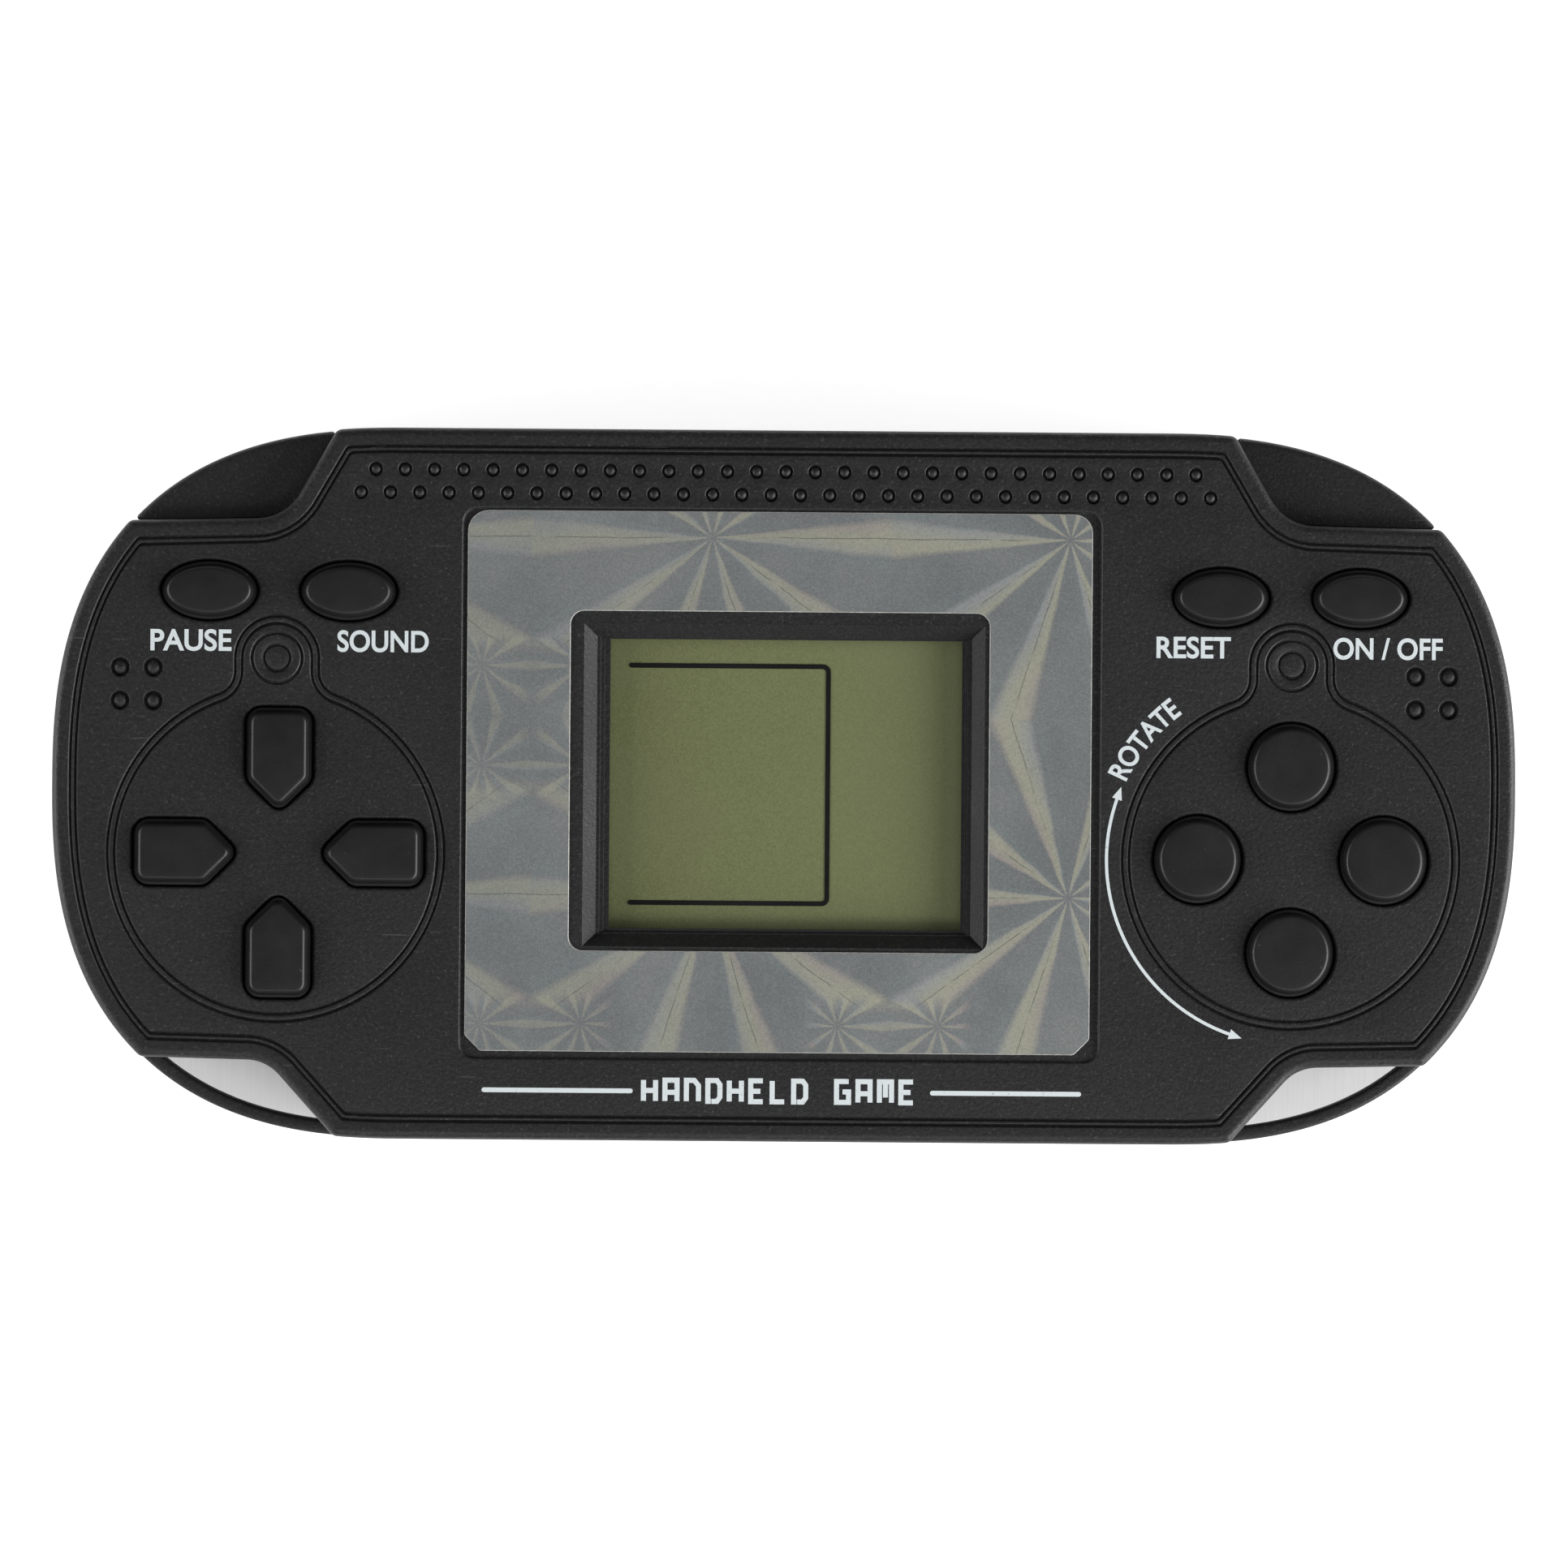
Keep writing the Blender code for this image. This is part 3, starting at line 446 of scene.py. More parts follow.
class Look:
    """A node material with a Principled shader."""

    def __init__(self, name, **settings):
        self.material = bpy.data.materials.new(name)
        self.material.use_nodes = True
        self.tree = self.material.node_tree
        self.shader = self.tree.nodes["Principled BSDF"]
        self.place = self.add("ShaderNodeTexCoord").outputs["Object"]
        self.finish(**settings)

    def set(self, node, key, value):
        """Links or fills an input. A colour is red, green and blue, or one number for a grey."""
        socket = node.inputs[key]
        if isinstance(value, bpy.types.NodeSocket):
            self.tree.links.new(value, socket)
        elif socket.type == "RGBA":
            socket.default_value = (*(value if isinstance(value, tuple) else [value] * 3), 1)
        else:
            socket.default_value = value

    def add(self, kind, inputs=None, **settings):
        node = self.tree.nodes.new(kind)
        for key, value in settings.items():
            setattr(node, key, value)
        for key, value in (inputs or {}).items():
            self.set(node, key, value)
        return node

    def math(self, operation, *values):
        return self.add("ShaderNodeMath", dict(enumerate(values)), operation=operation).outputs[0]

    plus = partialmethod(math, "ADD")
    minus = partialmethod(math, "SUBTRACT")
    times = partialmethod(math, "MULTIPLY")
    over = partialmethod(math, "DIVIDE")
    most = partialmethod(math, "MAXIMUM")
    size = partialmethod(math, "ABSOLUTE")

    def repeated(self, value, pitch):
        """How far a value is past the nearest multiple of a pitch."""
        return self.minus(self.math("FLOORED_MODULO", self.plus(value, pitch / 2), pitch), pitch / 2)

    def along(self, axis):
        """The place along an axis, in millimetres."""
        split = self.add("ShaderNodeSeparateXYZ", {"Vector": self.place})
        return self.over(split.outputs[axis], MM)

    def noise(self, size, detail=2.0, roughness=0.5, place=None, distortion=0.0):
        """Noise whose lumps are about size millimetres wide."""
        inputs = {"Vector": place or self.place, "Scale": 1 / (size * MM), "Detail": detail,
                  "Roughness": roughness, "Distortion": distortion}
        return self.add("ShaderNodeTexNoise", inputs).outputs["Fac"]

    def ramp(self, value, low, high, dark=0.0, light=1.0):
        inputs = {"Value": value, "From Min": low, "From Max": high, "To Min": dark, "To Max": light}
        return self.add("ShaderNodeMapRange", inputs).outputs["Result"]

    def stretched(self, scale, turn=0.0):
        inputs = {"Vector": self.place, "Scale": scale, "Rotation": (0, 0, radians(turn))}
        return self.add("ShaderNodeMapping", inputs).outputs["Vector"]

    def mix(self, share, first, second):
        return self.add("ShaderNodeMix", {0: share, 6: first, 7: second}, data_type="RGBA").outputs[2]

    def bump(self, height, distance, normal=None):
        """Relief of about this many millimetres."""
        inputs = {"Height": height, "Distance": distance * MM, "Strength": 1.0}
        if normal:
            inputs["Normal"] = normal
        return self.add("ShaderNodeBump", inputs).outputs["Normal"]

    def finish(self, **settings):
        for key, value in settings.items():
            self.set(self.shader, key.replace("_", " ").title().replace("Ior", "IOR"), value)
        return self.material


def moulded_black():
    """Spark-eroded ABS: a fine grain with pale specks, rubbed smoother in patches and lightly scratched."""
    look = Look("moulded_black", specular_ior_level=0.5)
    grain = look.noise(0.32, 3, 0.6)
    fine = look.noise(0.12, 2, 0.5)
    patches = look.noise(14, 3, 0.55)
    specks = look.ramp(look.noise(0.28, 2, 0.6, distortion=0.3), 0.60, 0.74)
    worn = look.most(look.times(specks, 0.42), look.times(scratch_lines(look), 0.5))
    bevel = screen_bevel(look)
    tone = look.mix(look.ramp(grain, 0.35, 0.65), (0.0075, 0.0075, 0.0085), (0.0175, 0.0175, 0.0185))
    tone = look.mix(look.times(look.ramp(patches, 0.4, 0.7), 0.25), tone, (0.02, 0.02, 0.022))
    tone = look.mix(worn, tone, 0.10)
    # painted shade: the bevel round the screen is painted darker than the face, standing in for the light it
    # misses
    tone = look.mix(look.times(bevel, 0.3), tone, (0.004, 0.004, 0.0045))
    height = look.plus(look.times(grain, look.ramp(bevel, 0, 1, 1.0, 1.5)), look.times(fine, 0.45))
    roughness = look.plus(look.ramp(patches, 0.35, 0.7, 0.50, 0.42), look.times(bevel, 0.10))
    return look.finish(base_color=tone, roughness=roughness, normal=look.bump(height, 0.045))


def screen_bevel(look):
    """Where the plastic is the bevel round the screen, which is coarser than the face and is painted darker
    as shade.
    """
    inside = [look.ramp(look.size(look.along(axis)), reach + 0.05, reach - 0.05)
              for axis, reach in zip("XY", BEZEL_OUTER)]
    return look.times(*inside)


def scratch_lines(look):
    """Short fine hair marks in three directions, in a few places only."""
    found = None
    for turn, seed in ((8, 3.1), (65, 7.7), (-50, 5.3)):
        place = look.add("ShaderNodeMapping", {
            "Vector": look.place, "Rotation": (0, 0, radians(turn)), "Scale": (1, 22, 1),
            "Location": (seed, seed, 0)}).outputs["Vector"]
        line = look.ramp(look.noise(5, 1, 0.4, place), 0.80, 0.815)
        found = line if found is None else look.most(found, line)
    return found


def key_black():
    """Key plastic: smoother than the case, with rubbed streaks on the tops."""
    look = Look("key_black", specular_ior_level=0.5)
    grain = look.noise(0.22, 2, 0.5)
    smear = look.noise(3.2, 3, 0.6)
    tone = look.mix(look.ramp(smear, 0.3, 0.75), (0.0085, 0.0085, 0.0095), (0.0115, 0.0115, 0.0125))
    specks = look.times(look.ramp(look.noise(0.5, 1), 0.74, 0.8), 0.4)
    tone = look.mix(specks, tone, 0.08)
    return look.finish(base_color=tone, roughness=look.ramp(smear, 0.3, 0.7, 0.41, 0.47),
                       normal=look.bump(grain, 0.010))


STAR_PITCH = 31.8
STAR_PLACE = (-6.5, 22.0)
SMALL_STAR_OFFSET = 4.45       # from the middle between four large stars
SMALL_STAR_REACH = 5.4, 4.0
SMALL_FIELD = 7.0              # half the side of the square that the small stars fill
RAYS = 10
RAY_EDGE = radians(7.2), radians(4.6)
CREASE = 0.055, 0.025


def star(look, x, y):
    """A star's rays about the origin of x and y: how bright they are, which side of a ray a place is on
    (-1 to 1), and the crease along each ray's middle."""
    off = look.repeated(look.math("ARCTAN2", y, x), 2 * pi / RAYS)
    away = look.math("SQRT", look.plus(look.times(x, x), look.times(y, y)))
    lit = look.times(look.ramp(look.size(off), *RAY_EDGE), look.ramp(away, 0.15, 0.6))
    side = look.over(off, radians(6.5))
    crease = look.ramp(look.size(look.times(off, away)), *CREASE)
    return lit, side, look.times(crease, look.ramp(away, 3.0, 5.0))


def star_pattern(look):
    """Large stars on a square lattice, and four small ones in the middle between each four large ones, which
    meet at the lines halfway between them. Gives the same three values as a star."""
    wobble = look.times(look.minus(look.noise(3.0, 2, 0.5), 0.5), 0.35)
    large, middle, small = [], [], []
    for axis, start in zip("XY", STAR_PLACE):
        way = look.plus(look.minus(look.along(axis), start), wobble)
        large.append(look.repeated(way, STAR_PITCH))
        middle.append(look.size(look.repeated(look.minus(way, STAR_PITCH / 2), STAR_PITCH)))
        small.append(look.minus(middle[-1], SMALL_STAR_OFFSET))
    field = look.most(*middle)
    outside = look.ramp(field, SMALL_FIELD - 1.6, SMALL_FIELD + 0.2)
    inside = look.ramp(field, SMALL_FIELD + 0.5, SMALL_FIELD - 0.5, 0.0, 0.75)
    large_rays, large_side, crease = star(look, *large)
    small_rays, small_side, _ = star(look, *small)
    away = look.math("SQRT", look.plus(*[look.times(way, way) for way in small]))
    small_rays = look.times(small_rays, look.ramp(away, *SMALL_STAR_REACH))
    rays = look.plus(look.times(large_rays, outside), look.times(small_rays, inside))
    side = look.plus(look.times(large_side, outside), look.times(small_side, look.minus(1.0, outside)))
    return rays, side, look.times(crease, outside)


def hologram_foil():
    """Silvery film with a pattern of diffracting stars, whose rays are cream with pink and blue sides, and
    painted light that makes the rays brighter towards the right, where the key lamp stands.
    """
    look = Look("hologram_foil", metallic=0.35, specular_ior_level=0.5)
    rays, side, crease = star_pattern(look)
    cloud = look.noise(9, 2, 0.5)
    dust = look.noise(0.16, 3, 0.75)
    hue = look.plus(side, look.times(look.minus(look.noise(11, 1), 0.5), 3.0))
    base = look.mix(look.ramp(cloud, 0.35, 0.65), (0.235, 0.252, 0.255), (0.275, 0.290, 0.288))
    warm = look.mix(look.ramp(hue, -1.2, 0.0), (0.39, 0.41, 0.41), (0.48, 0.475, 0.375))
    warm = look.mix(look.ramp(hue, 0.4, 1.4), warm, (0.44, 0.385, 0.37))
    # painted light: the rays grow brighter towards the right, on the side of the key lamp
    strength = look.ramp(look.along("X"), -28, 12, 0.5, 0.95)
    tone = look.mix(look.times(rays, strength), base, warm)
    halo = look.ramp(look.size(look.plus(side, 1.35)), 0.5, 0.0, 0.0, 0.30)
    tone = look.mix(halo, tone, (0.26, 0.31, 0.33))
    worn = look.ramp(look.noise(2.2, 2), 0.36, 0.5)
    tone = look.mix(look.times(crease, look.times(worn, 0.65)), tone, (0.09, 0.10, 0.10))
    tone = look.mix(look.ramp(dust, 0.45, 0.72, 0.0, 0.42), tone, (0.12, 0.13, 0.13))
    tone = look.mix(look.ramp(dust, 0.50, 0.28, 0.0, 0.30), tone, (0.46, 0.48, 0.47))
    return look.finish(base_color=tone, roughness=look.ramp(cloud, 0.3, 0.7, 0.36, 0.44),
                       normal=look.bump(dust, 0.003))


def lcd_glass():
    """The olive reflective panel behind its polariser, with fine grain, and painted light that makes it paler
    towards the right, lifting the shade of the bezel's right wall.
    """
    look = Look("lcd_glass", roughness=0.32, specular_ior_level=0.35)
    grain = look.noise(0.16, 3, 0.7)
    cloud = look.noise(12, 2, 0.5)
    tone = look.mix(look.ramp(grain, 0.3, 0.7), (0.110, 0.125, 0.050), (0.200, 0.220, 0.098))
    tone = look.mix(look.ramp(cloud, 0.35, 0.65, 0.0, 0.3), tone, (0.18, 0.19, 0.10))
    # painted light: paler towards the right, against the shadow that the bezel's right wall casts on the
    # panel
    tone = look.mix(look.ramp(look.along("X"), -8, 15, 0.05, 0.42), tone, (0.235, 0.260, 0.135))
    return look.finish(base_color=tone, normal=look.bump(grain, 0.002))


def clear_window():
    look = Look("clear_window", roughness=0.06, specular_ior_level=0.5)
    haze = look.noise(9, 3, 0.6)
    return look.finish(base_color=look.mix(haze, 0.8, (0.9, 0.9, 0.88)),
                       alpha=look.ramp(haze, 0.3, 0.7, 0.002, 0.006))


def white_print():
    """Pad-printed ink, slightly thin where the grain under it stands up."""
    look = Look("white_print", roughness=0.5)
    thin = look.ramp(look.noise(0.30, 3, 0.65), 0.60, 0.72, 0.0, 0.55)
    tone = look.mix(thin, (0.74, 0.80, 0.82), (0.22, 0.24, 0.25))
    return look.finish(base_color=tone, normal=look.bump(look.noise(0.3, 2), 0.01))


def lcd_ink():
    look = Look("lcd_ink", roughness=0.5, specular_ior_level=0.12)
    tone = look.mix(look.noise(0.4), 0.002, (0.005, 0.005, 0.004))
    return look.finish(base_color=tone)


def speckled(name, dark, light, size, roughness, metallic=0.0, relief=0.01, streaks=None):
    """A plain procedural finish: two tones of one colour, uneven roughness and slight relief."""
    look = Look(name, metallic=metallic)
    grain = look.noise(size, 3, 0.6, look.stretched(streaks) if streaks else None)
    broad = look.noise(size * 12, 2, 0.5)
    tone = look.mix(look.ramp(grain, 0.3, 0.7), dark, light)
    low, high = roughness
    return look.finish(base_color=tone, roughness=look.ramp(broad, 0.3, 0.7, low, high),
                       normal=look.bump(grain, relief))


SHADE_SCALE = 1.015         # the case's outline as the lens lays it on the floor
# painted shadow: the floor barely glows inside the case's outline, in place of the shadow the case casts
FLOOR_GLOW = 0.04, 0.76     # under the case and beside it


def studio_floor():
    """A pale brushed sheet that glows, except inside the case's outline, where a painted shadow stands in for
    the case's own shade.
    """
    look = Look("studio_floor", roughness=0.8, specular_ior_level=0.2)
    brushing = look.noise(2.0, 2, 0.5, look.stretched((9, 0.35, 1)))
    powers = []
    # painted shadow: the glow drops inside the case's outline as laid on the floor
    for axis, start, reach in (("X", END_START, HALF_LENGTH), ("Y", 0, HALF_HEIGHT)):
        way = look.most(look.minus(look.size(look.along(axis)), start * SHADE_SCALE), 0.0)
        powers.append(look.math("POWER", look.over(way, (reach - start) * SHADE_SCALE), END_POWER))
    return look.finish(base_color=look.mix(brushing, (0.68, 0.68, 0.69), 0.79),
                       emission_color=1,
                       emission_strength=look.ramp(look.plus(*powers), 0.94, 1.0, *FLOOR_GLOW))


# ---- case


def key_holes():
    """The body and hole of each key, with the kind of its middle."""
    holes = {}
    for word, turn in (("right", 0), ("up", 90), ("left", 180), ("down", 270)):
        way = Vector((cos(radians(turn)), sin(radians(turn))))
        arrow = way * (ARROW_TIP + ARROW_TAIL) / 2
        holes[f"arrow_key_{word}"] = arrow_outline(turn, (arrow.x + ARROW_PAD_X, arrow.y + PAD_Y))
        holes[f"round_key_{word}"] = circle((PAD_X + PAD_REACH * way.x, PAD_Y + PAD_REACH * way.y),
                                            ROUND_KEY_HOLE, 56)
    outer, inner = FUNCTION_KEY_X
    for word, x in (("pause", -outer), ("sound", -inner), ("on_off", outer), ("reset", inner)):
        holes[f"{word}_key"] = ellipse((x, FUNCTION_KEY_Y), *FUNCTION_KEY_HOLE)
    return holes


def dome(hole, radius, low, high, steps=6):
    """The (depth, height) points of a spherical dome in a hole's outline, with heights below the face."""
    rise = high - low
    sphere = (radius ** 2 + rise ** 2) / (2 * rise)
    reaches = [radius * (1 - i / steps) for i in range(steps)]
    return [(hole - reach, high - sphere + sqrt(sphere ** 2 - reach ** 2)) for reach in reaches]


def on_face(profile):
    """A profile whose heights are counted from the face."""
    return [(depth, FACE + height) for depth, height in profile]


def dot_rings(shape):
    """Small domes, each in a round recess: two rows above the screen and four at each end."""
    dots = [(DOT_PITCH * (i - (count - 1) / 2), y) for y, count in DOT_ROWS for i in range(count)]
    studs = [(side * (STUD_PLACE[0] + dx), STUD_PLACE[1] + dy) for side in (-1, 1)
             for dx in (-STUD_HALF_PITCH, STUD_HALF_PITCH) for dy in (-STUD_HALF_PITCH, STUD_HALF_PITCH)]
    dot_mouth = [(-0.13, 0), (-0.06, -0.01), (0, -0.07), (0.02, -0.28), (0.06, -0.33)]
    stud_mouth = [(-0.16, 0), (-0.09, 0), (-0.02, -0.03), (0.02, -0.12), (0.05, -0.42)]
    tops = []
    for places, radius, mouth, moat, top in (
        (dots, DOT_RADIUS, dot_mouth, -0.30, 0.0),
        (studs, STUD_RADIUS, stud_mouth, -0.40, -0.10),
    ):
        profile = on_face(mouth + dome(radius, 0.82 * radius, moat, top))
        for place in places:
            edge, crown = shape.walls(circle(place, radius, 24), profile)
            shape.crown(crown, 0.004, 1)
            tops.append(edge)
    return tops


def groove(shape, outer, inner):
    """A flat band between two notches. Gives the rings where the faces outside and inside it begin."""
    outside, first = shape.walls(outer, notch(-1))
    inside, last = shape.walls(inner, notch(1))
    shape.floor(first, last)
    return outside, inside


def boss_ring(shape, side):
    """The blind boss in a pad's neck: a ring groove round a raised button."""
    profile = [(-0.1, 0), (0, 0), (0.08, -0.05), (0.12, -0.22), (0.22, -0.26), (0.32, -0.22), (0.36, -0.05),
               (0.44, 0), (0.6, 0), (1.05, 0), (1.12, -0.04), (1.16, -0.2), (1.26, -0.26), (1.36, -0.2),
               (1.42, -0.10), (1.55, -0.06)]
    outline = circle((side * PAD_X, BOSS_Y), 2.45, 40)
    top, button = shape.walls(outline, on_face(profile))
    shape.crown(button, 0.03, 3)
    return top


def bezel_rings(shape):
    """The bevel round the screen, down to the opening in the wall."""
    half_x, half_y = BEZEL_OUTER
    rings = []
    for left, right, top, bottom, height in BEZEL_STEPS:
        corners = rectangle(left - half_x, bottom - half_y, half_x - right, half_y - top)
        rings.append(shape.ring(corners, height))
    for first, second in zip(rings, rings[1:]):
        shape.join(first, second)
    return rings[0], rings[-1]


def front_shell(look):
    shape = Shape()
    sharp_outline = case_outline(True, True)
    outline = softened(sharp_outline, CORNER_ROUNDING)
    edge = arc((FACE_ROUNDING, FACE - FACE_ROUNDING), FACE_ROUNDING, pi, pi / 2, 6)
    side = [(0.35, FRONT_LOW), (0.15, FRONT_LOW), (0.05, FRONT_LOW + 0.05), (0, FRONT_LOW + 0.15), *edge]
    bottom, rim = shape.walls(outline, [*side, (FACE_ROUNDING + FLAT, FACE)])

    border = [softened(inset(sharp_outline, depth), 0.5) for depth in BORDER_INSETS]
    rim_inside, face_outside = groove(shape, *border)
    shape.floor(rim, rim_inside)

    face_holes = dot_rings(shape)
    wall_holes = []
    pad_holes = {-1: [boss_ring(shape, -1)], 1: [boss_ring(shape, 1)]}
    for name, hole in key_holes().items():
        top, low = shape.walls(hole, through(FACE, WALL_INSIDE, 0.22))
        wall_holes.append(low)
        on_pad = name.startswith(("arrow", "round"))
        (pad_holes[-1 if hole[0][0] < 0 else 1] if on_pad else face_holes).append(top)
    for way in (-1, 1):
        face_hole, pad = groove(shape, keyhole(*KEYHOLE_OUTER, way), keyhole(*KEYHOLE_INNER, way))
        face_holes.append(face_hole)
        shape.floor(pad, *pad_holes[way])

    top, pocket = shape.walls(rectangle(*POCKET, 1.3), cliff(-1, FACE, POCKET_FLOOR))
    face_holes.append(top)
    shape.floor(face_outside, *face_holes)
    bezel, opening = bezel_rings(shape)
    shape.floor(pocket, bezel)

    room = inset(sharp_outline, SIDE_WALL)
    inner_bottom, ceiling = shape.walls(room, [(0, FRONT_LOW), (0, WALL_INSIDE)])
    shape.floor(bottom, inner_bottom)
    for places, radius, foot, bore, bore_end in FRONT_POSTS:
        for place in places:
            radius_here = min(radius, distances([place], room)[0] - 0.15)
            profile = [(0, WALL_INSIDE), (0, foot), (bore, foot), (bore, bore_end)]
            base, end = shape.walls(circle(place, radius_here, 20), profile)
            shape.crown(end, 0.2, 2)
            wall_holes.append(base)
    shape.floor(ceiling, opening, *wall_holes)
    return shape.finished("front_shell_moulding", look, replaced=["front_shell"], slot="case_black")


def strap_bar(side, look):
    """The bar that closes a strap loop: a stretch along the case's outline."""
    first, last = STRAP_BAR_REACH
    run = [[point for point in inset(case_outline(False, False), depth)
            if first < side * point[0] < last and point[1] < 0] for depth in STRAP_BAR_INSETS]
    shape = Shape()
    edge = 0.35
    low = arc((edge, STRAP_LOW + edge), edge, -pi / 2, -pi, 3)
    high = arc((edge, STRAP_HIGH - edge), edge, pi, pi / 2, 4)
    bottom, top = shape.walls(clockwise(run[0] + run[1][::-1]), [*low, *high])
    shape.floor(bottom)
    shape.floor(top)
    name = f"strap_bar_{'right' if side > 0 else 'left'}"
    return shape.finished(name, look, replaced=["front_shell"], slot="case_black")


def shoulder_outline():
    """The right shoulder seen from the front, between the case's outline and the step of the front shell."""
    first = len(end_run(pi / 2, end_turn(SHOULDER_TOP_X))) - 1
    step = [Vector(p) for p in shifted(case_outline(True, True), -0.06)[first:first + len(shoulder_step())]]
    outer = [Vector(p) for p in shifted(case_outline(False, True), 0.04)]
    met = []
    for start, end in ((step[0], step[1]), (step[-1], step[-2])):
        for i in range(1, len(outer) // 2):
            point = intersect_line_line_2d(start, end, outer[i - 1], outer[i])
            if point:
                met.append((i, point))
    (top_index, top), (side_index, side) = met
    ring = [top, *outer[top_index:side_index], side, *reversed(step[1:-1])]
    return [tuple(point) for point in ring]


def rear_shell(look):
    shape = Shape()
    outline = softened(case_outline(False, True), 2.5)
    edge = arc((REAR_ROUNDING, REAR_ROUNDING), REAR_ROUNDING, -pi / 2, -pi, 8)
    back, rim = shape.walls(outline, [(REAR_ROUNDING + FLAT, 0), *edge, (0, SPLIT - 0.1), (0, SPLIT)])

    rim_holes = []
    right = softened(shoulder_outline(), 0.25)
    for ring in (right, clockwise([(-x, y) for x, y in right])):
        edge = arc((SHOULDER_ROUNDING, SHOULDER_HIGH - SHOULDER_ROUNDING), SHOULDER_ROUNDING, pi, pi / 2, 5)
        outside = distances(ring, case_outline(False, True)) < 0.1
        base, top = shape.walls(ring, [(0, SPLIT), *edge], np.where(outside, 1.0, 0.1))
        shape.floor(top)
        rim_holes.append(base)
    room = inset(case_outline(True, True), SIDE_WALL)
    top, inside = shape.walls(room, [(0, SPLIT), (0, REAR_WALL)])
    back_holes, inside_holes = [], []
    for place in CASE_SCREWS:
        grow = COUNTERBORE - min(REAR_POST, distances([place], room)[0] - 0.1)
        step = COUNTERBORE - SCREW_HOLE
        profile = [*mouth_edge(0.2, 0), (0, COUNTERBORE_TOP), (step, COUNTERBORE_TOP), (step, SPLIT),
                   (grow, SPLIT), (grow, REAR_WALL)]
        low, high = shape.walls(circle(place, COUNTERBORE), profile)
        back_holes.append(low)
        inside_holes.append(high)
    for place in [BUZZER, *arc(BUZZER, VENT_RING, 0, 5 * pi / 3, 5)]:
        profile = [(-0.2, 0), (-0.12, 0), (-0.03, 0.05), (0, 0.15), (0, REAR_WALL)]
        low, high = shape.walls(circle(place, VENT, 18), profile)
        back_holes.append(low)
        inside_holes.append(high)
    shape.floor(rim, top, *rim_holes)

    recess = clockwise(with_ear(RECESS_HALF, RECESS_EAR))
    low, ceiling = shape.walls(recess, [*mouth_edge(0.2, 0), (0, RECESS_ROOF)])
    back_holes.append(low)
    shape.floor(back, *back_holes)
    half_x, half_y = ROOM_HALF
    room = rectangle(-half_x, -half_y, half_x, half_y, 0.5)
    mouth, roof = shape.walls(room, [(-0.05, RECESS_ROOF), (0, ROOM_ROOF)])
    bore = [(0, RECESS_ROOF), (0, 2.5), (2.4, 2.5), (2.4, 7.5)]
    ear, end = shape.walls(circle((0, DOOR_SCREW_Y), 3.5), bore)
    shape.floor(ceiling, mouth, ear)
    shape.floor(roof)
    shape.crown(end, 0.2, 2)
    island = clockwise(with_ear((half_x + ROOM_RIM, half_y + ROOM_RIM), 4.6))
    base, roof = shape.walls(island, [(0, REAR_WALL), (0, ROOM_ROOF + 0.8)])
    shape.floor(roof)
    shape.floor(inside, base, *inside_holes)
    return shape.finished("rear_shell_moulding", look, replaced=["rear_shell"], slot="case_black")


def battery_door(look):
    shape = Shape()
    outside, inside, ear_top = DOOR_OUTSIDE, DOOR_INSIDE, 2.2
    edge = arc((0.25, outside + 0.25), 0.25, -pi / 2, -pi, 3)
    outline = clockwise(with_ear(DOOR_HALF, DOOR_EAR))
    low, high = shape.walls(outline, [(0.35, outside), *edge, (0, inside)])
    slots = [rectangle(-6, 3.6 + 1.3 * i, 6, 4.3 + 1.3 * i, 0.34) for i in range(6)]
    slot_sides = [(-0.02, outside + 0.02), (0, outside + 0.08), (0.08, outside + 0.35)]
    pointer = clockwise(rounded([(-2.6, 1.6), (0, -1.2), (2.6, 1.6)], (0.25, 0.25, 0.25), 3))
    pointer_sides = [(0, outside + 0.08), (0.06, outside + 0.3)]
    holes = []
    for mark, sides in [*[(slot, slot_sides) for slot in slots], (pointer, pointer_sides)]:
        mouth, floor = shape.walls(mark, [(-0.12, outside), (-0.06, outside), *sides])
        holes.append(mouth)
        shape.floor(floor)
    middle = (0, DOOR_SCREW_Y)
    bore = [(-0.3, outside), *mouth_edge(0.12, outside), (0, 1.4), (1.3, 1.4), (1.3, ear_top)]
    mouth, top = shape.walls(circle(middle, 2.4), bore)
    holes.append(mouth)
    shape.floor(low, *holes)
    base, ring = shape.walls(circle(middle, 3.1), [(0, inside), (0, ear_top - 0.1), (0.1, ear_top)])
    shape.floor(high, base)
    shape.floor(ring, top)
    return shape.finished("battery_door_moulding", look, "battery_door", ["battery_door"], "case_black")


def foil_outline():
    """The sheet's outline, with rounded upper corners and cut lower ones."""
    left, bottom, right, top = FOIL
    cut = 1.4
    corners = [(left, bottom + cut), (left, top), (right, top), (right, bottom + cut), (right - cut, bottom),
               (left + cut, bottom)]
    return clockwise(rounded(corners, (0.5, 1.9, 1.7, 0.5, 0.5, 0.5), 6))


def foil_sticker(look, edge_look):
    """The printed sheet and the white core that shows where it was cut."""
    low, high, core = POCKET_FLOOR + 0.05, POCKET_FLOOR + 0.2, 0.07
    sheet, edges = Shape(), Shape()
    bottoms, tops = [], []
    for side, outline in ((1, foil_outline()), (-1, rectangle(*FOIL_WINDOW, 1.2))):
        bottom, top = sheet.walls(outline, [(side * (core + 0.01), low), (side * (core + 0.01), high)])
        bottoms.append(bottom)
        tops.append(top)
        profile = [(core, low), (0, low), (0, high - 0.13), (core - 0.02, high), (core, high)]
        first, last = edges.walls(outline, [(side * depth, height) for depth, height in profile])
        edges.join(last, first)
    sheet.floor(*bottoms)
    sheet.floor(*tops)
    sheet.finished("hologram_foil_sheet", look, replaced=["foil_sticker"], slot="foil")
    edges.finished("foil_core", edge_look, replaced=["foil_sticker"], slot="foil")


# ---- keys and fasteners


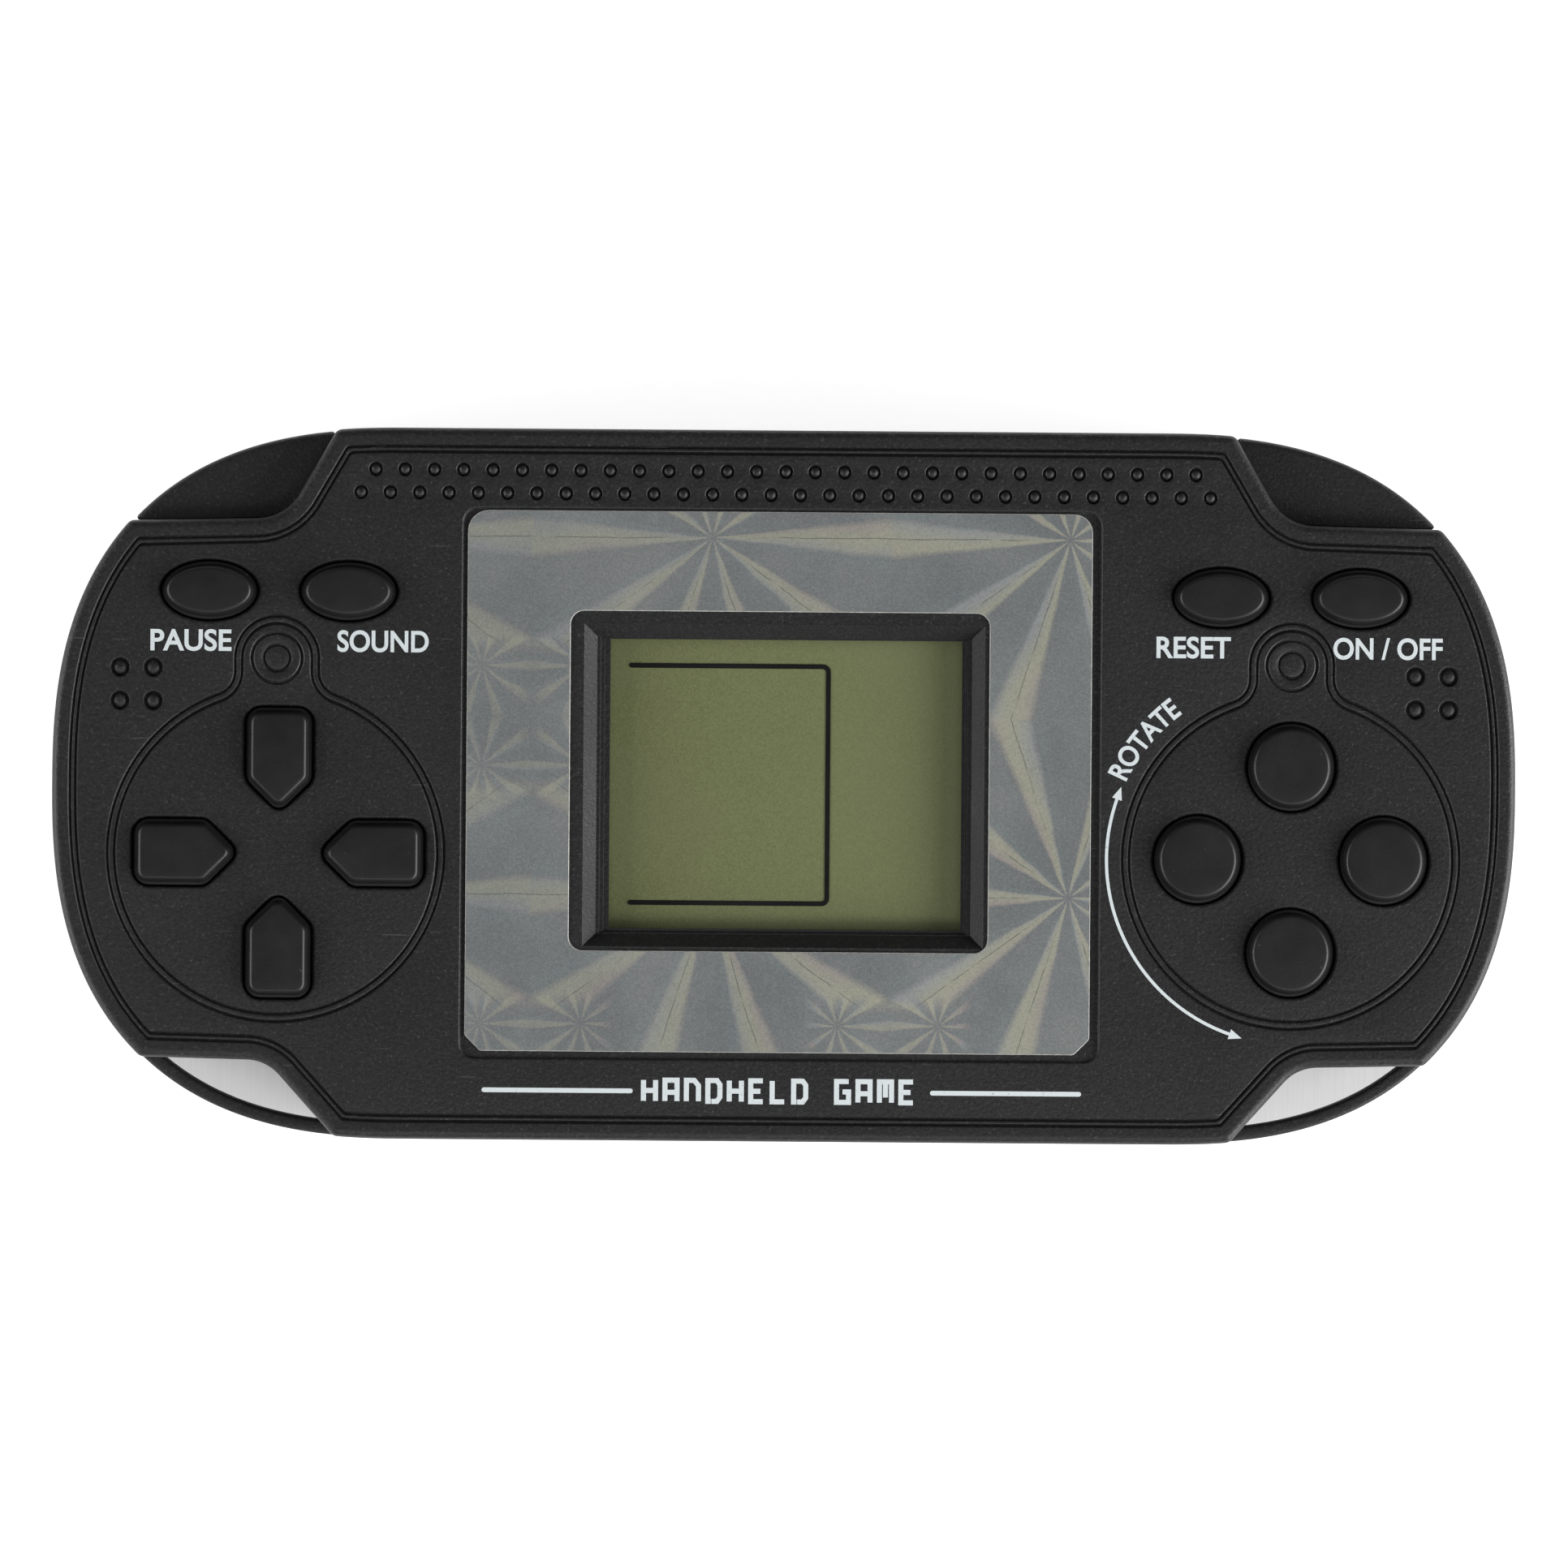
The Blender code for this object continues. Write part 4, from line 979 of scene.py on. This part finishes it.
def keycap(name, hole, look):
    """A cap with drafted sides, a small ledge at its root, rounded edges and a faintly crowned top."""
    shape = Shape()
    ledge, skirt, root, draft, edge, crown = FACE - 0.30, 0.16, 0.44, 0.62, 0.34, 0.05
    top = KEY_TOP - crown
    flange = [(0.1 - KEY_FLANGE, FLANGE_LOW), (-KEY_FLANGE, FLANGE_LOW + 0.1), (-KEY_FLANGE, FLANGE_HIGH)]
    side = [(KEY_GAP, FLANGE_HIGH), (KEY_GAP, ledge - 0.8), (skirt, ledge - 0.7), (skirt, ledge - 0.1),
            (skirt + 0.07, ledge - 0.02), (root - 0.05, ledge), (root, ledge + 0.1)]
    crest = arc((draft + edge, top - edge), edge, pi - 0.15, pi / 2, 6)
    low, high = shape.walls(hole, [*flange, *side, *crest])
    shape.floor(low)
    shape.crown(high, crown, 6)
    return shape.finished(f"{name}_cap", look, name, [name], "key_black")


def screw(node, look):
    """A pan-head screw with a cross recess in its head, which faces down, and a threaded shank."""
    low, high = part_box(node)
    middle, head = (low + high) / 2 / MM, (high.x - low.x) / 2 / MM
    bottom, tip = low.z / MM, high.z / MM
    shank = 0.5 * head
    rise = min(1.2, 0.12 * (tip - bottom))
    shape = Shape()
    profile = [(0, bottom + rise), (0, bottom + 0.45)]
    profile += [(0.12, bottom + 0.22), (0.35, bottom + 0.08), (0.7 * head, bottom)]
    top, face = shape.walls(circle(middle, head, 24), profile)
    mouth, pit = shape.walls(cross(middle, 0.55 * head, 0.13 * head), [(0, bottom), (0.04, bottom + 0.6)])
    shape.floor(face, mouth)
    shape.floor(pit)
    thread = [(head - shank, bottom + rise)]
    height, pitch = bottom + rise + 0.2, 0.7
    while height + pitch < tip - 0.6:
        thread += [(head - shank, height), (head - shank + 0.14, height + pitch / 2)]
        height += pitch
    thread += [(head - shank * 0.5, tip - 0.3), (head - 0.15, tip)]
    base, end = shape.walls(circle(middle, head, 24), thread)
    shape.floor(top, base)
    shape.crown(end, 0.0, 1)
    body = "battery_door" if node.startswith("battery") else "case"
    return shape.finished(f"{node}_turned", look, body, [node], "screw")


# ---- print


PRINT_LOW, PRINT_HIGH = FACE + 0.004, FACE + 0.02
LEGENDS = {
    "legend_pause": ("PAUSE", -56.3, -49.1),
    "legend_sound": ("SOUND", -39.7, -31.6),
    "legend_reset": ("RESET", 33.0, 39.6),
    "legend_on_off": ("ON / OFF", 48.7, 58.4),
}
LEGEND_LOW, LEGEND_HIGH = 11.6, 13.55
ROTATE_RADIUS, ROTATE_HEIGHT, ROTATE_FIRST, ROTATE_LAST = 16.15, 1.9, 154.8, 127.0
ARROW_ARC_RADIUS, ARROW_ARC_FIRST, ARROW_ARC_LAST = 16.35, 161.0, 251.0
ARROW_ARC_LINE, ARROW_HEAD_LENGTH, ARROW_HEAD_HALF = 0.28, 1.15, 0.46
TITLE_LINE_Y, TITLE_LINE_X, TITLE_LINE = -27.15, (13.4, 26.4), 0.42
TITLE_BOX, TITLE_STROKE = (-12.65, -28.25, 12.1, -25.95), 0.45
TITLE = "HANDHELD GAME"
BLOCK_LETTERS = {   # strokes in a box from (0, 0) to (1, 1)
    "A": [[(0, 0), (0, 1), (1, 1), (1, 0)], [(0, 0.42), (1, 0.42)]],
    "D": [[(0.3, 0), (0, 0), (0, 1), (0.75, 1), (1, 0.8), (1, 0.2), (0.75, 0), (0.25, 0)]],
    "E": [[(1, 1), (0, 1), (0, 0), (1, 0)], [(0, 0.5), (0.8, 0.5)]],
    "G": [[(1, 1), (0, 1), (0, 0), (1, 0), (1, 0.5), (0.5, 0.5)]],
    "H": [[(0, 0), (0, 1)], [(1, 0), (1, 1)], [(0, 0.5), (1, 0.5)]],
    "L": [[(0, 1), (0, 0), (1, 0)]],
    "M": [[(0, 0), (0, 1), (1, 1), (1, 0)], [(0.5, 1), (0.5, 0.25)]],
    "N": [[(0, 0), (0, 1), (0.65, 1), (1, 0.75), (1, 0)]],
}


def lettering(name, words, box, look, curve=None):
    """Words as thin raised ink that fills a box of (left, bottom, right, top)."""
    text = bpy.data.curves.new(name, "FONT")
    text.body = words
    text.offset = 0.022
    text.extrude = 0.0
    guide = bpy.data.objects.new(name, text)
    bpy.context.scene.collection.objects.link(guide)
    bpy.context.view_layer.update()
    mesh = bpy.data.meshes.new_from_object(guide.evaluated_get(bpy.context.evaluated_depsgraph_get()))
    bpy.data.objects.remove(guide)
    co = np.array([v.co for v in mesh.vertices])
    low, high = co.min(axis=0), co.max(axis=0)
    left, bottom, right, top = box
    for vertex in mesh.vertices:
        x = left + (vertex.co.x - low[0]) / (high[0] - low[0]) * (right - left)
        y = bottom + (vertex.co.y - low[1]) / (high[1] - low[1]) * (top - bottom)
        vertex.co = Vector((*(curve(x, y) if curve else (x, y)), PRINT_HIGH)) * MM
    edit = bmesh.new()
    edit.from_mesh(mesh)
    bmesh.ops.remove_doubles(edit, verts=edit.verts, dist=1e-8)
    grown = bmesh.ops.extrude_face_region(edit, geom=edit.faces[:])
    for part in grown["geom"]:
        if isinstance(part, bmesh.types.BMVert):
            part.co.z = PRINT_LOW * MM
    bmesh.ops.recalc_face_normals(edit, faces=edit.faces)
    edit.to_mesh(mesh)
    edit.free()
    mesh.shade_flat()
    return piece(name, mesh, look)


def title_strokes():
    """The title in plain block letters."""
    left, bottom, right, top = TITLE_BOX
    pitch = (right - left) / len(TITLE)
    width, height = pitch * 0.80 - TITLE_STROKE, top - bottom - TITLE_STROKE
    strokes = []
    for i, letter in enumerate(TITLE):
        start = left + pitch * (i + 0.1) + TITLE_STROKE / 2
        for path in BLOCK_LETTERS.get(letter, []):
            points = [(start + x * width, bottom + TITLE_STROKE / 2 + y * height) for x, y in path]
            strokes.append(stroke(points, TITLE_STROKE, False))
    return strokes


def prints(look):
    for name, (words, left, right) in LEGENDS.items():
        lettering(name, words, (left, LEGEND_LOW, right, LEGEND_HIGH), look)

    def along_pad(x, y):
        turn = radians(ROTATE_FIRST + (ROTATE_LAST - ROTATE_FIRST) * x)
        return PAD_X + (ROTATE_RADIUS + y) * cos(turn), PAD_Y + (ROTATE_RADIUS + y) * sin(turn)

    lettering("legend_rotate", "ROTATE", (0, 0, 1, ROTATE_HEIGHT), look, along_pad)
    marks = title_strokes()
    for side in (-1, 1):
        marks.append(stroke([(side * x, TITLE_LINE_Y) for x in TITLE_LINE_X], TITLE_LINE))
    middle = (PAD_X, PAD_Y)
    first, last = radians(ARROW_ARC_FIRST), radians(ARROW_ARC_LAST)
    marks.append(stroke(arc(middle, ARROW_ARC_RADIUS, first, last, 48), ARROW_ARC_LINE))
    for turn, way in ((first, -1), (last, 1)):
        root = Vector(arc(middle, ARROW_ARC_RADIUS, turn, turn, 1)[0])
        on = Vector((-sin(turn), cos(turn))) * way
        out = Vector((cos(turn), sin(turn))) * ARROW_HEAD_HALF
        marks.append(clockwise([tuple(root + on * ARROW_HEAD_LENGTH), tuple(root + out), tuple(root - out)]))
    plate("print_marks", marks, PRINT_LOW, PRINT_HIGH, look, "white_print")


def playfield_line(look):
    """The printed line on the LCD round the playfield, open on its left."""
    left, right, top, bottom = -13.6, 3.92, 10.66, -10.47
    path = [(left, top), *fillet((left, top), (right, top), (right, bottom), 0.5, 6),
            *fillet((right, top), (right, bottom), (left, bottom), 0.5, 6), (left, bottom)]
    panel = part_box("lcd_panel")[1].z / MM
    plate("playfield_line", [stroke(path, 0.42)], panel + 0.01, panel + 0.06, look, "lcd_ink")


# ---- inner parts, camera and light


INNER_LOOKS = (     # starts of CAD nodes' names, then the settings of a speckled look
    (("main_pcb",), "phenolic_board", (0.25, 0.13, 0.045), (0.33, 0.19, 0.07), 0.6, (0.45, 0.6)),
    (("chip_blob",), "epoxy_blob", 0.006, 0.012, 1.2, (0.12, 0.3)),
    (("clock_resonator",), "resonator_case", (0.62, 0.25, 0.03), (0.75, 0.34, 0.05), 0.5, (0.3, 0.45)),
    (("power_capacitor",), "capacitor_sleeve", (0.01, 0.014, 0.07), (0.02, 0.03, 0.12), 0.8, (0.2, 0.35)),
    (("piezo_buzzer",), "brass_disc", (0.66, 0.46, 0.16), (0.78, 0.58, 0.25), 0.8, (0.2, 0.4), 1.0, 0.01,
     (1, 14, 1)),
    (("battery_spring", "contact_plate"), "nickel_contact", (0.55, 0.54, 0.50), (0.72, 0.71, 0.67), 0.5,
     (0.18, 0.34), 1.0),
    (("battery_lead_red", "buzzer_lead_red"), "red_sleeve", (0.42, 0.012, 0.012), (0.55, 0.025, 0.02), 0.4,
     (0.35, 0.5)),
    (("battery_lead_black", "buzzer_lead_black"), "black_sleeve", 0.012, 0.025, 0.4, (0.35, 0.5)),
    (("keymat",), "grey_silicone", (0.28, 0.28, 0.27), (0.36, 0.36, 0.35), 0.5, (0.5, 0.7)),
    (("lcd_connector",), "zebra_strip", 0.02, (0.30, 0.28, 0.26), 0.1, (0.5, 0.7), 0.0, 0.01,
     (6, 1, 1)),
    (("lcd_reflector",), "silver_film", (0.55, 0.56, 0.56), (0.66, 0.67, 0.67), 0.6, (0.25, 0.4), 1.0),
)


def inner_finishes():
    """Materials for the CAD nodes that stay."""
    looks = {starts: speckled(*settings) for starts, *settings in INNER_LOOKS}
    looks["battery_upper", "battery_lower"] = cell_jacket()
    looks["lcd_panel",] = lcd_glass()
    looks["lcd_window",] = clear_window()
    for starts, look in looks.items():
        for name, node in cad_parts.items():
            if name.startswith(starts):
                node.data.materials.clear()
                node.data.materials.append(look)


def cell_jacket():
    """A dry cell: a printed jacket with a copper band, and bare metal ends."""
    look = Look("cell_jacket")
    away = look.size(look.along("X"))
    band = look.ramp(away, 12.0, 12.1)
    end = look.ramp(away, 21.5, 21.6)
    tone = look.mix(band, (0.012, 0.016, 0.03), (0.62, 0.33, 0.12))
    tone = look.mix(end, tone, (0.62, 0.62, 0.60))
    scuff = look.noise(1.2, 3, 0.6)
    tone = look.mix(look.ramp(scuff, 0.6, 0.8, 0, 0.3), tone, 0.3)
    return look.finish(base_color=tone, metallic=look.most(look.times(band, 0.8), end),
                       roughness=look.ramp(scuff, 0.3, 0.7, 0.22, 0.38))


CAMERA_HEIGHT = 0.80
VIEW_WIDTH = 0.1393         # what the frame takes in at the height of the case's rim
CAMERA_OFFSET = (0.00003, 0.00019)
CAMERA_TURN = 0.44


def add_camera():
    camera = bpy.data.cameras.new("camera")
    camera.sensor_width = 36
    rim = (FACE - FACE_ROUNDING) * MM
    camera.lens = camera.sensor_width * (CAMERA_HEIGHT - rim) / VIEW_WIDTH
    camera.clip_start, camera.clip_end = 0.01, 20
    made = bpy.data.objects.new("camera", camera)
    made.location = (*CAMERA_OFFSET, CAMERA_HEIGHT)
    made.rotation_euler = (0, 0, radians(CAMERA_TURN))
    bpy.context.scene.collection.objects.link(made)
    bpy.context.scene.camera = made


def area_light(name, place, size, power):
    light = bpy.data.lights.new(name, "AREA")
    light.shape = "RECTANGLE"
    light.size, light.size_y = size
    light.energy = power
    made = bpy.data.objects.new(name, light)
    made.location = place
    made.rotation_euler = (-Vector(place)).to_track_quat("-Z", "Y").to_euler()
    bpy.context.scene.collection.objects.link(made)


def add_stage():
    edit = bmesh.new()
    bmesh.ops.create_grid(edit, x_segments=8, y_segments=8, size=2.0)
    mesh = bpy.data.meshes.new("studio_floor")
    edit.to_mesh(mesh)
    edit.free()
    floor = bpy.data.objects.new("studio_floor", mesh)
    floor.location.z = -0.0002
    mesh.materials.append(studio_floor())
    bpy.context.scene.collection.objects.link(floor)
    area_light("key_light", (0.62, -0.20, 0.26), (0.8, 0.36), 8.0)
    area_light("left_light", (-0.62, -0.08, 0.27), (0.6, 0.3), 3.3)
    area_light("front_light", (0.05, -0.45, 0.65), (0.6, 0.3), 1.2)
    world = bpy.data.worlds.new("studio")
    world.use_nodes = True
    background = world.node_tree.nodes["Background"]
    background.inputs["Color"].default_value = (1, 1, 1, 1)
    background.inputs["Strength"].default_value = 0.07
    bpy.context.scene.world = world
    bpy.context.scene.view_settings.view_transform = "Standard"


def main():
    add_camera()
    add_stage()
    case_look, key_look, ink = moulded_black(), key_black(), white_print()
    front_shell(case_look)
    strap_bar(-1, case_look)
    strap_bar(1, case_look)
    rear_shell(case_look)
    battery_door(case_look)
    foil_core = speckled("foil_core", (0.42, 0.42, 0.40), (0.66, 0.66, 0.62), 0.5, (0.5, 0.6))
    foil_sticker(hologram_foil(), foil_core)
    for name, hole in key_holes().items():
        keycap(name, hole, key_look)
    zinc = speckled("zinc_screw", (0.46, 0.46, 0.47), (0.62, 0.62, 0.63), 0.5, (0.22, 0.4), 1.0)
    for node in [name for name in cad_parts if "_screw" in name]:
        screw(node, zinc)
    inner_finishes()
    prints(ink)
    playfield_line(lcd_ink())


main()
